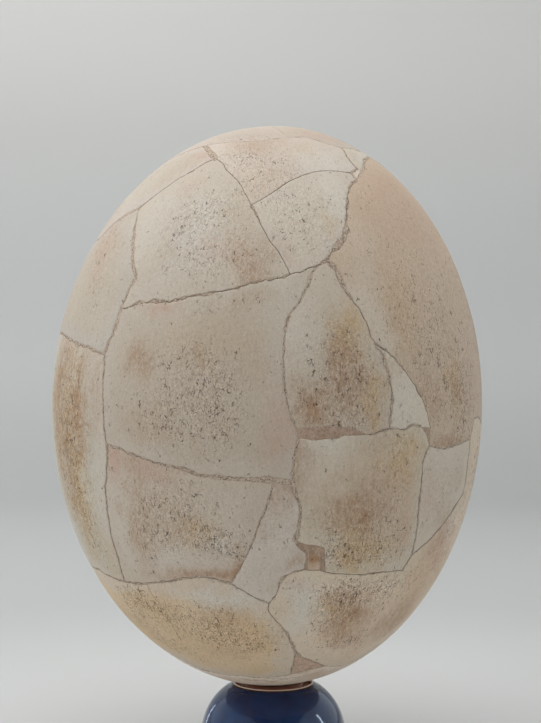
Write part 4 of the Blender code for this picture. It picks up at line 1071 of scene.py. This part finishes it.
def standProfile():
    # half section from the axis over the lip to the foot: the seat follows the egg's tip, and each
    # other part is an arc or a straight run; every point also says how bare its clay is
    lowest = stand["lipHeight"] - stand["lipRise"]
    tipCurve = egg["halfWidth"] ** 2 / egg["halfLength"]
    offTip = stand["x"] - (egg["bow"] - egg["lean"])
    reach = np.linspace(0, stand["seatRadius"], stand["seatPoints"])
    seat = np.stack([reach, lowest - stand["seatTouch"] + reach * (reach / 2 - offTip) / tipCurve], -1)
    ease, floor = stand["ease"], lowest - stand["grooveDepth"] + stand["ease"]
    innerLip = stand["lipRadius"] - stand["lipWidth"]
    turn = np.linspace(0, math.pi / 2, stand["bendPoints"])[:, None]
    downBend = np.hstack([stand["seatRadius"] + 2 * ease - ease * np.cos(turn),
                          floor - ease * np.sin(turn)])
    upBend = np.hstack([innerLip - ease + ease * np.sin(turn), floor - ease * np.cos(turn)])
    half = stand["lipWidth"] / 2
    turn = np.linspace(0, math.pi * stand["lipTurn"], stand["lipPoints"])[:, None]
    lip = np.hstack([innerLip + half - half * np.cos(turn),
                     stand["lipHeight"] - half + half * np.sin(turn)])
    start = math.acos((stand["lipRadius"] - stand["domeCentre"]) / stand["domeRadius"])
    middle = stand["lipHeight"] - stand["domeDrop"] - stand["domeRadius"] * math.sin(start)
    turn = np.linspace(start, 0, stand["domePoints"])
    below = middle + stand["domeRadius"] * np.sin(turn) - (stand["lipHeight"] - stand["neckDrop"])
    radius = stand["domeRadius"] - stand["neckDent"] * np.exp(-(below / stand["neckWidth"]) ** 2)
    dome = np.stack([stand["domeCentre"] + radius * np.cos(turn), middle + radius * np.sin(turn)], -1)
    widest = stand["domeCentre"] + stand["domeRadius"]
    part = np.linspace(stand["skirtFrom"], 1, stand["skirtPoints"])
    skirt = np.stack([widest - (widest - stand["footRadius"]) * part ** 2,
                      middle + (stand["footRound"] - middle) * part], -1)
    turn = np.linspace(stand["footFrom"], math.pi / 2, stand["footPoints"])[:, None]
    foot = np.hstack([stand["footRadius"] - stand["footRound"] * (1 - np.cos(turn)),
                      stand["footRound"] * (1 - np.sin(turn))])
    base = np.array([[stand["footFlat"], 0.0], [0.0, 0.0]])
    # each run, how bare its clay is, and whether it lies inside the lip
    runs = [(seat, 1.0, 1.0), (downBend, 1.0, 1.0), (upBend, 1.0, 1.0), (lip, 0.9, 0.0),
            (dome[1:3], 0.5, 0.0), (dome[3:], 0.0, 0.0), (skirt, 0.0, 0.0), (foot, 0.0, 0.0),
            (base, 0.8, 0.0)]
    profile = np.vstack([run[0] for run in runs])
    bare, inside = [np.repeat([run[k] for run in runs], [len(run[0]) for run in runs]) for k in (1, 2)]
    return profile, bare, inside


def turned(profile, steps):
    # a section turned once round the upright line through x = 0
    turn = np.linspace(0, 2 * math.pi, steps, endpoint=False)
    reach, height = profile[:, :1], np.broadcast_to(profile[:, 1:], (len(profile), steps))
    return np.stack([reach * np.cos(turn), reach * np.sin(turn), height], -1)


def makeStand():
    # both ends of the section are on the axis, and each closes as a single point
    profile, bare, inside = standProfile()
    grid = turned(profile[1:-1], stand["steps"])
    index, quads = closedRows(*grid.shape[:2])
    ends = np.array([[0, 0, profile[0, 1]], [0, 0, 0]])
    places = np.vstack([grid.reshape(-1, 3), ends]) + [stand["x"], 0, 0]
    top, bottom = np.full(stand["steps"], index.size), np.full(stand["steps"], index.size + 1)
    caps = [np.stack([top, index[0], np.roll(index[0], -1)], -1),
            np.stack([bottom, np.roll(index[-1], -1), index[-1]], -1)]
    piece = addMesh("turned_stand", places, quads + caps[0].tolist() + caps[1].tolist())
    for name, values in (("bare", bare), ("inside", inside)):
        paint(piece, name, np.concatenate([np.repeat(values[1:-1], stand["steps"]), values[[0, -1]]]))
    return piece


def linear(hexColour):
    # sRGB hex to linear light
    parts = [int(hexColour[i:i + 2], 16) / 255 for i in (1, 3, 5)]
    return [part / 12.92 if part < 0.04045 else ((part + 0.055) / 1.055) ** 2.4 for part in parts] + [1]


def add(tree, kind, inputs=None, out=0, **settings):
    # one node: its settings, then its inputs, where a socket is linked and anything else is a value
    made = tree.nodes.new("ShaderNode" + kind)
    for name, value in settings.items():
        setattr(made, name, value)
    for name, value in (inputs or {}).items():
        if isinstance(value, bpy.types.NodeSocket):
            tree.links.new(value, made.inputs[name])
        else:
            made.inputs[name].default_value = value
    return made.outputs[out] if len(made.outputs) else None


def calc(tree, operation, *values):
    # one sum on numbers or sockets
    return add(tree, "Math", dict(enumerate(values)), operation=operation)


def scaled(tree, value, times, plus=0.0, clamp=False):
    # value * times + plus, held between 0 and 1 if clamped
    return add(tree, "Math", {0: value, 1: times, 2: plus}, operation="MULTIPLY_ADD", use_clamp=clamp)


def ranged(tree, value, low, high, least=0.0, most=1.0, smooth=False):
    # the range from low to high turned into the range from least to most, and held at its ends
    ends = {"From Min": low, "From Max": high, "To Min": least, "To Max": most}
    return add(tree, "MapRange", {"Value": value, **ends},
               interpolation_type="SMOOTHSTEP" if smooth else "LINEAR")


def mixed(tree, amount, first, second):
    # from the first colour to the second; each is a hex colour or a socket
    tones = [linear(tone) if isinstance(tone, str) else tone for tone in (first, second)]
    return add(tree, "Mix", {0: amount, 6: tones[0], 7: tones[1]}, 2, data_type="RGBA")


def shaded(tree, colour, shade):
    # a colour times a number
    return add(tree, "VectorMath", {0: colour, 1: shade}, operation="MULTIPLY")


def noise(tree, place, scale, detail, rough=0.5):
    # patterns of about 1 / scale, in the unit of the place
    look = {"Scale": scale, "Detail": detail, "Roughness": rough}
    return add(tree, "TexNoise", {"Vector": place, **look})


def painted(tree, name, out="Fac"):
    # what paint wrote at the mesh's points
    return add(tree, "Attribute", out=out, attribute_name=name)


def threeOf(tree, name):
    # the three numbers of a painted vector
    return add(tree, "SeparateXYZ", {0: painted(tree, name, "Vector")}).node.outputs[:3]


def newMaterial(name):
    # an empty material, its nodes, and the place of a point on the object
    made = bpy.data.materials.new(name)
    made.use_nodes = True
    made.node_tree.nodes.clear()
    return made, made.node_tree, add(made.node_tree, "TexCoord", out="Object")


def surface(tree, colour, rough, **more):
    # the shader and the material's output
    shader = add(tree, "BsdfPrincipled", {"Base Color": colour, "Roughness": rough, **more})
    add(tree, "OutputMaterial", {"Surface": shader})


def relief(tree, height, strength, distance):
    # small relief that only bends the light: a height of 1 stands for the distance
    return add(tree, "Bump", {"Height": height, "Strength": strength, "Distance": distance})


shellTones = {
    "brown": "#a5805f", "ochre": "#c09c62", "rose": "#bd9480", "pale": "#d8d4ca",
    "fleck": "#967a61", "pit": "#4c3322", "smear": "#b5a391",
    "marginWidth": 7.0,      # mm of pale rubbed shell along the breaks
    "marginWander": 19,      # what the noises add to the distance from the break, in the mean
}
# noises of the shell: scale, detail and roughness
shellNoises = {
    "cloud": (30.0, 5.0, 0.6),       # 30 mm wide
    "patch": (0.20, 5.0, 0.66),      # 5 mm
    "mottle": (0.75, 4.0, 0.66),     # 1.3 mm
    "pores": (1.7, 2.0, 0.55),       # 0.6 mm
    "crease": (0.55, 1.5, 0.5),      # 2 mm
    "kept": (0.33, 2.0, 0.6),        # 3 mm
    "fine": (1.7, 2.0, 0.5),         # 0.6 mm, as fine as the render can show
    "grit": (1.25, 2.0, 0.7),        # 0.8 mm
}


def eggshell(name, look):
    # eggshell from the ground: matte calcite with fine pores that run pole to pole, earth stains of
    # brown, ochre and rose in each shard's middle, and paler rubbed margins along the breaks
    made, tree, place = newMaterial(name)
    grain, rim = painted(tree, "grain", "Vector"), painted(tree, "rim")
    brown, ochre, rose = threeOf(tree, "stains")
    pits, pale, glued = threeOf(tree, "wear")
    # patterns near twice as long as wide
    along = add(tree, "Mapping", {"Vector": grain, "Scale": (1, 1, 0.55)})
    cloud = noise(tree, place, *shellNoises["cloud"])
    patch = noise(tree, along, *shellNoises["patch"])
    mottle = noise(tree, along, *shellNoises["mottle"])
    # the body's tone fades out over the margin, by a wandering distance from the break
    marginTone, bodyTone, cloudTone = look["tones"].split()
    reach = scaled(tree, patch, 12.0, scaled(tree, cloud, 26.0, rim))
    wide, wander = shellTones["marginWidth"], shellTones["marginWander"]
    body = ranged(tree, reach, wander + wide * 0.3, wander + wide * 1.8, smooth=True)
    clouded = mixed(tree, ranged(tree, cloud, 0.38, 0.64), bodyTone, cloudTone)
    colour = mixed(tree, body, marginTone, clouded)
    # stains: the soft spots, broken up by the patches and the mottling
    uneven = scaled(tree, mottle, 1.7, scaled(tree, patch, 2.6, -1.2))
    for mask, tone, most in ((rose, "rose", 0.75), (ochre, "ochre", 0.85), (brown, "brown", 0.85)):
        amount = scaled(tree, mask, 0.30, calc(tree, "MULTIPLY", mask, uneven))
        colour = mixed(tree, ranged(tree, amount, 0.03, 1.25, 0.0, most), colour, shellTones[tone])
    colour = mixed(tree, scaled(tree, pale, 0.8, clamp=True), colour, shellTones["pale"])
    # how worn a place is: what the stains and pits add up to
    worn = scaled(tree, calc(tree, "ADD", brown, ochre), 0.45, pits, clamp=True)
    # fine light and dark flecks, stronger where it is worn
    strength = scaled(tree, worn, 0.45, 0.12)
    for low, high, most, tone in ((0.52, 0.66, 1.0, "fleck"), (0.45, 0.34, 0.5, "pale")):
        fleck = calc(tree, "MULTIPLY", ranged(tree, mottle, low, high, 0.0, most), strength)
        colour = mixed(tree, fleck, colour, shellTones[tone])
    # pores: specks of about 0.5 by 1 mm where a noise falls low, more of them in the pitted places
    pores = noise(tree, along, *shellNoises["pores"])
    often = calc(tree, "MULTIPLY", pits, scaled(tree, patch, 2.4, -0.2))
    often = scaled(tree, often, 0.112, 0.262)
    pit = ranged(tree, calc(tree, "SUBTRACT", often, pores), 0.0, 0.022, 0.0, 0.9)
    # short crooked cracks: the level lines of a noise, kept only in its own small patches
    crease = calc(tree, "SUBTRACT", noise(tree, along, *shellNoises["crease"]), 0.5)
    crease = calc(tree, "ABSOLUTE", crease)
    kept = scaled(tree, pits, 0.19, noise(tree, grain, *shellNoises["kept"]))
    kept = ranged(tree, kept, 0.61, 0.71, 0.0, 0.9)
    crease = calc(tree, "MULTIPLY", ranged(tree, crease, 0.030, 0.010), kept)
    pit = calc(tree, "MAXIMUM", pit, crease)
    colour = mixed(tree, pit, colour, shellTones["pit"])
    # fine cracks inside the shard, made crooked by the mottling
    hairline = calc(tree, "SUBTRACT", scaled(tree, mottle, 2.2, painted(tree, "hairline")), 1.1)
    hairline = ranged(tree, calc(tree, "ABSOLUTE", hairline), 0.30, 0.12, 0.0, 0.55)
    colour = mixed(tree, hairline, colour, shellTones["pit"])
    # glue smeared over the broken edge, as far as the mottling lets it
    smear = ranged(tree, scaled(tree, mottle, -3.2, rim), -0.95, -1.6, 0.0, 0.6)
    colour = mixed(tree, calc(tree, "MULTIPLY", smear, glued), colour, shellTones["smear"])
    fine = noise(tree, along, *shellNoises["fine"])
    colour = shaded(tree, colour, ranged(tree, fine, 0.3, 0.7, 0.94, 1.05))
    # grit, light and dark in equal parts and strongest where the shell is worn
    grit = calc(tree, "SUBTRACT", noise(tree, grain, *shellNoises["grit"]), 0.5)
    shade = calc(tree, "MULTIPLY", grit, scaled(tree, worn, 1.15, 0.35))
    colour = shaded(tree, colour, calc(tree, "ADD", shade, 1.0))
    # height in tenths of a millimetre: pores down, grain and mottling slightly raised
    height = scaled(tree, mottle, scaled(tree, worn, 3.0, 0.8), scaled(tree, pit, -2.2, fine))
    rough = ranged(tree, mottle, 0.3, 0.7, 0.58, 0.74)
    surface(tree, colour, rough, Normal=relief(tree, height, 0.6, 0.1 * mm), IOR=1.50)
    return made


def specked(tree, colour, grit, most, shades):
    # specks of two shades where the grit is low and where it is high
    for low, high, shade in shades:
        colour = mixed(tree, ranged(tree, grit, low, high, 0.0, most), colour, shade)
    return colour


def gapFiller(name, look):
    # toned plaster filler: matte, a little gritty, pressed in below the shell
    made, tree, place = newMaterial(name)
    cloud = noise(tree, place, 260.0, 5.0, 0.65)
    colour = mixed(tree, ranged(tree, cloud, 0.38, 0.64), *look["tones"].split())
    edge = calc(tree, "MULTIPLY", ranged(tree, painted(tree, "rim"), 0.7, 0.1, 0.0, 0.4), cloud)
    colour = mixed(tree, edge, colour, "#8d7866")
    grit = noise(tree, place, 900.0, 3.0, 0.65)
    colour = specked(tree, colour, grit, 0.55, ((0.46, 0.36, "#7a6350"), (0.56, 0.66, "#cdb9a6")))
    surface(tree, colour, 0.75, Normal=relief(tree, grit, 0.6, 0.15 * mm))
    return made


def seamGlue():
    # old glue thickened with chalk: matte and grey-brown, shrunk away along a fine broken crack that
    # wanders from one side of the joint to the other
    made, tree, place = newMaterial("seam_glue")
    tone = painted(tree, "tone")
    across, run, half = threeOf(tree, "seam")
    blotch = noise(tree, place, 420.0, 4.0, 0.7)
    light = scaled(tree, tone, 0.6, scaled(tree, blotch, 1.4, -0.35), clamp=True)
    colour = mixed(tree, light, "#a8937f", "#c8b8a8")
    # grit of 1 mm in the glue: dark specks and pale ones
    grit = noise(tree, place, 1100.0, 2.0, 0.6)
    colour = specked(tree, colour, grit, 0.7, ((0.45, 0.36, "#6e5a4a"), (0.56, 0.66, "#cdbfae")))
    # the crack's place across the joint, in half widths, from a noise along it: mostly at one border
    spot = add(tree, "CombineXYZ", {0: run})
    swing = ranged(tree, noise(tree, spot, 0.22, 3.0, 0.6), 0.42, 0.58, -1.0, 1.0)
    away = calc(tree, "SUBTRACT", across, calc(tree, "MULTIPLY", swing, half))
    crack = ranged(tree, calc(tree, "ABSOLUTE", away), 0.20, 0.09)
    broken = scaled(tree, tone, -0.42, noise(tree, spot, 0.16, 4.0, 0.75))
    crack = calc(tree, "MULTIPLY", crack, ranged(tree, broken, 0.26, 0.36, 0.0, 0.92))
    colour = mixed(tree, crack, colour, "#382c22")
    # darker along both borders
    edge = calc(tree, "SUBTRACT", half, calc(tree, "ABSOLUTE", across))
    edge = calc(tree, "MULTIPLY", ranged(tree, edge, 0.25, 0.0, 0.0, 0.9), blotch)
    colour = mixed(tree, edge, colour, "#988672")
    surface(tree, colour, 0.7, Normal=relief(tree, scaled(tree, crack, -1.5, blotch), 0.4, 0.1 * mm))
    return made


def blueGlaze():
    # cobalt-glazed earthenware: a deep glossy navy, with the clay left bare on the lip and rough and
    # brown inside; the lip's clay is painted near white as painted light, since the egg shades it
    made, tree, place = newMaterial("cobalt_glaze")
    bare = painted(tree, "bare")
    glaze = mixed(tree, ranged(tree, noise(tree, place, 70.0, 3.0), 0.35, 0.65), "#07204e", "#0c3062")
    # painted light: the lip's bare clay is painted near white, lighter than the brown clay inside
    clay = mixed(tree, painted(tree, "inside"), "#ffe6d6", "#b0745a")
    # a dark brown line between the glaze and the bare clay
    colour = mixed(tree, ranged(tree, bare, 0.15, 0.4), glaze, "#3c221a")
    uncovered = ranged(tree, bare, 0.65, 0.8)
    colour = mixed(tree, uncovered, colour, clay)
    rough = ranged(tree, uncovered, 0.0, 1.0, 0.09, 0.42)
    ripples = noise(tree, place, 160.0, 1.0)
    surface(tree, colour, rough, Normal=relief(tree, ripples, 0.25, 0.08 * mm), IOR=1.52)
    return made


def dress(piece, material, slot, *nodes):
    # gives a piece its material, and says what it rides and replaces; slot is not used
    piece.data.materials.append(material)
    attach(piece, "root")
    if nodes:
        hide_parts(*nodes)


lines = traceJoints()
print("joints traced:", len(joints))

# the tilt of each piece has its own seed: the first of these, and one more for each piece after it
firstSeed = {"shard": 300, "filler": 400}
slots = {row["node"]: row["material_slot"] for row in frame["record"]["subparts"]}
total = 0
for seed, (name, look) in enumerate(shards.items(), firstSeed["shard"]):
    piece = makeSheet(name + "_fine", look, lines, seed)
    dress(piece, eggshell(name + "_calcite", look), slots[name], name)
    total += len(piece.data.polygons)
print("shards made:", len(shards), "faces:", total)

for seed, (name, look) in enumerate(fillers.items(), firstSeed["filler"]):
    piece = makeSheet(name + "_fine", look, lines, seed)
    dress(piece, gapFiller(name + "_plaster", look), "filler", name)
print("fillers made:", len(fillers))

gluePiece = makeGlue(lines)
dress(gluePiece, seamGlue(), "filler")
print("glue laid, faces:", len(gluePiece.data.polygons))

dress(makeStand(), blueGlaze(), "glaze", "stand")
print("stand turned")

studio = {
    "wallRadius": 2.2, "bendRadius": 0.7, "wallTop": 2.6, "floorRadii": (0.3, 1.0),
    "steps": 96, "bendSteps": 24,
    # painted light: the floor is painted lighter near the object and darker further off
    "litNearTone": "#bfc0bf", "dimFarTone": "#b0b2b1",
    "nearReach": 0.2, "farReach": 0.6,       # the floor's tone fades between these distances
    "frontTone": "#cfcfcd",                  # white paper in front, which lights the egg from below
    "frontFrom": 0.10, "frontTo": 0.02,      # how far behind the egg it begins to show, and is whole
    # painted light: the wall's tone gets lighter with height
    "wallLightByHeight": ((0.0, 0.25, "#bdbfbf"), (0.3, 0.9, "#d2d2d0")),     # from, to, the wall's tone
    "room": "#e4e6e8", "roomLight": 0.05,
    "mirrorTone": "#d2e6fa",                 # the pale blue of daylight in the glaze's mirrored lights
    "sensor": 36,                            # the camera's, in mm
}


def makeBackdrop():
    # a round studio: a level floor, a quarter-round bend and an upright wall, turned about the middle
    turn = np.linspace(0, math.pi / 2, studio["bendSteps"])
    start = studio["wallRadius"] - studio["bendRadius"]
    bend = np.stack([start + studio["bendRadius"] * np.sin(turn),
                     studio["bendRadius"] * (1 - np.cos(turn))], -1)
    profile = np.vstack([[[reach, 0] for reach in studio["floorRadii"]], bend,
                         [[studio["wallRadius"], studio["wallTop"]]]])
    grid = turned(profile, studio["steps"])
    index, quads = closedRows(*grid.shape[:2])
    backdrop = addMesh("paper_backdrop", grid.reshape(-1, 3), quads + [index[0].tolist()])
    # matte paper, palest round the object and lighter up the wall: painted light, as if more light fell
    # there
    made, tree, place = newMaterial("backdrop_paper")
    away = add(tree, "VectorMath", {0: place}, 1, operation="LENGTH")
    # painted light: lighter near the object, darker further off
    far = ranged(tree, away, studio["nearReach"], studio["farReach"], smooth=True)
    colour = mixed(tree, far, studio["litNearTone"], studio["dimFarTone"])
    behind, height = add(tree, "SeparateXYZ", {0: place}).node.outputs[1:3]
    front = ranged(tree, behind, studio["frontFrom"], studio["frontTo"], smooth=True)
    colour = mixed(tree, front, colour, studio["frontTone"])
    # painted light: the wall is painted lighter higher up
    for low, high, tone in studio["wallLightByHeight"]:
        colour = mixed(tree, ranged(tree, height, low, high, smooth=True), colour, tone)
    surface(tree, colour, 0.9)
    backdrop.data.materials.append(made)


# lamps: place, what each is aimed at, size and power. Those marked mirrored only show in the glaze
# and light nothing else
toEgg, toGlaze = (0, 0, 0.2), (0, 0, 0.04)
lamps = {
    "overhead": ((0.0, -0.2, 1.7), toEgg, (1.6, 1.6), 21.8),
    "left": ((-1.6, -0.6, 1.1), toEgg, (1.2, 1.2), 6.3),
    "leftBack": ((-1.3, 0.6, 1.2), toEgg, (0.9, 0.9), 6.3),
    "rightBack": ((1.3, 0.6, 1.2), toEgg, (0.9, 0.9), 3.5),
    "highLeft": ((-1.0, -0.5, 1.6), toEgg, (1.0, 1.0), 2.4),
    "wall": ((-0.6, 1.2, 1.9), (-0.2, 2.2, 0.4), (1.0, 1.0), 14.8),
    "front": ((0.1, -1.9, 0.20), (0, 0, 0.12), (1.2, 0.35), 0.8),
    "slit": ((1.5, 0.05, 0.64), toGlaze, (0.07, 0.55), 1.6, "mirrored"),
    "boxLeft": ((-1.36, -0.12, 0.66), toGlaze, (3.0, 1.5), 8.8, "mirrored"),
    "boxRight": ((1.34, 0.24, 0.62), toGlaze, (3.0, 1.4), 9.6, "mirrored"),
    "edge": ((-0.258, 0.26, 0.064), toGlaze, (0.005, 0.125), 0.03, "mirrored"),
}


def hangLamps():
    # oblong lamps turned to what they are aimed at, in a pale room that glows faintly
    for name, (spot, aim, size, power, *mirrored) in lamps.items():
        light = bpy.data.lights.new(name, "AREA")
        light.shape = "RECTANGLE"
        light.size, light.size_y = size
        light.energy = power
        if mirrored:
            light.color = linear(studio["mirrorTone"])[:3]
        lamp = hang(bpy.data.objects.new(name, light))
        lamp.location = spot
        lamp.visible_glossy = bool(mirrored)
        lamp.visible_diffuse = not mirrored
        lamp.visible_camera = False
        lamp.rotation_euler = (Vector(aim) - Vector(spot)).to_track_quat("-Z", "Y").to_euler()
    world = bpy.data.worlds.new("pale_room")
    world.use_nodes = True
    ground = world.node_tree.nodes["Background"]
    ground.inputs["Color"].default_value = linear(studio["room"])
    ground.inputs["Strength"].default_value = studio["roomLight"]
    bpy.context.scene.world = world


def standCamera():
    # level, in front of the egg, at the height and distance that the photograph's outline gives
    lens = bpy.data.cameras.new("camera")
    lens.sensor_fit = "VERTICAL"
    lens.sensor_height = studio["sensor"]
    lens.lens = sight["focal"] * studio["sensor"] / sight["high"]
    camera = hang(bpy.data.objects.new("camera", lens))
    camera.location = Vector(egg["centre"] + sight["eye"])
    camera.rotation_euler = (math.pi / 2, 0, 0)
    bpy.context.scene.camera = camera


makeBackdrop()
hangLamps()
standCamera()
bpy.context.scene.view_settings.view_transform = "Standard"
print("studio set")

bpy.context.view_layer.update()
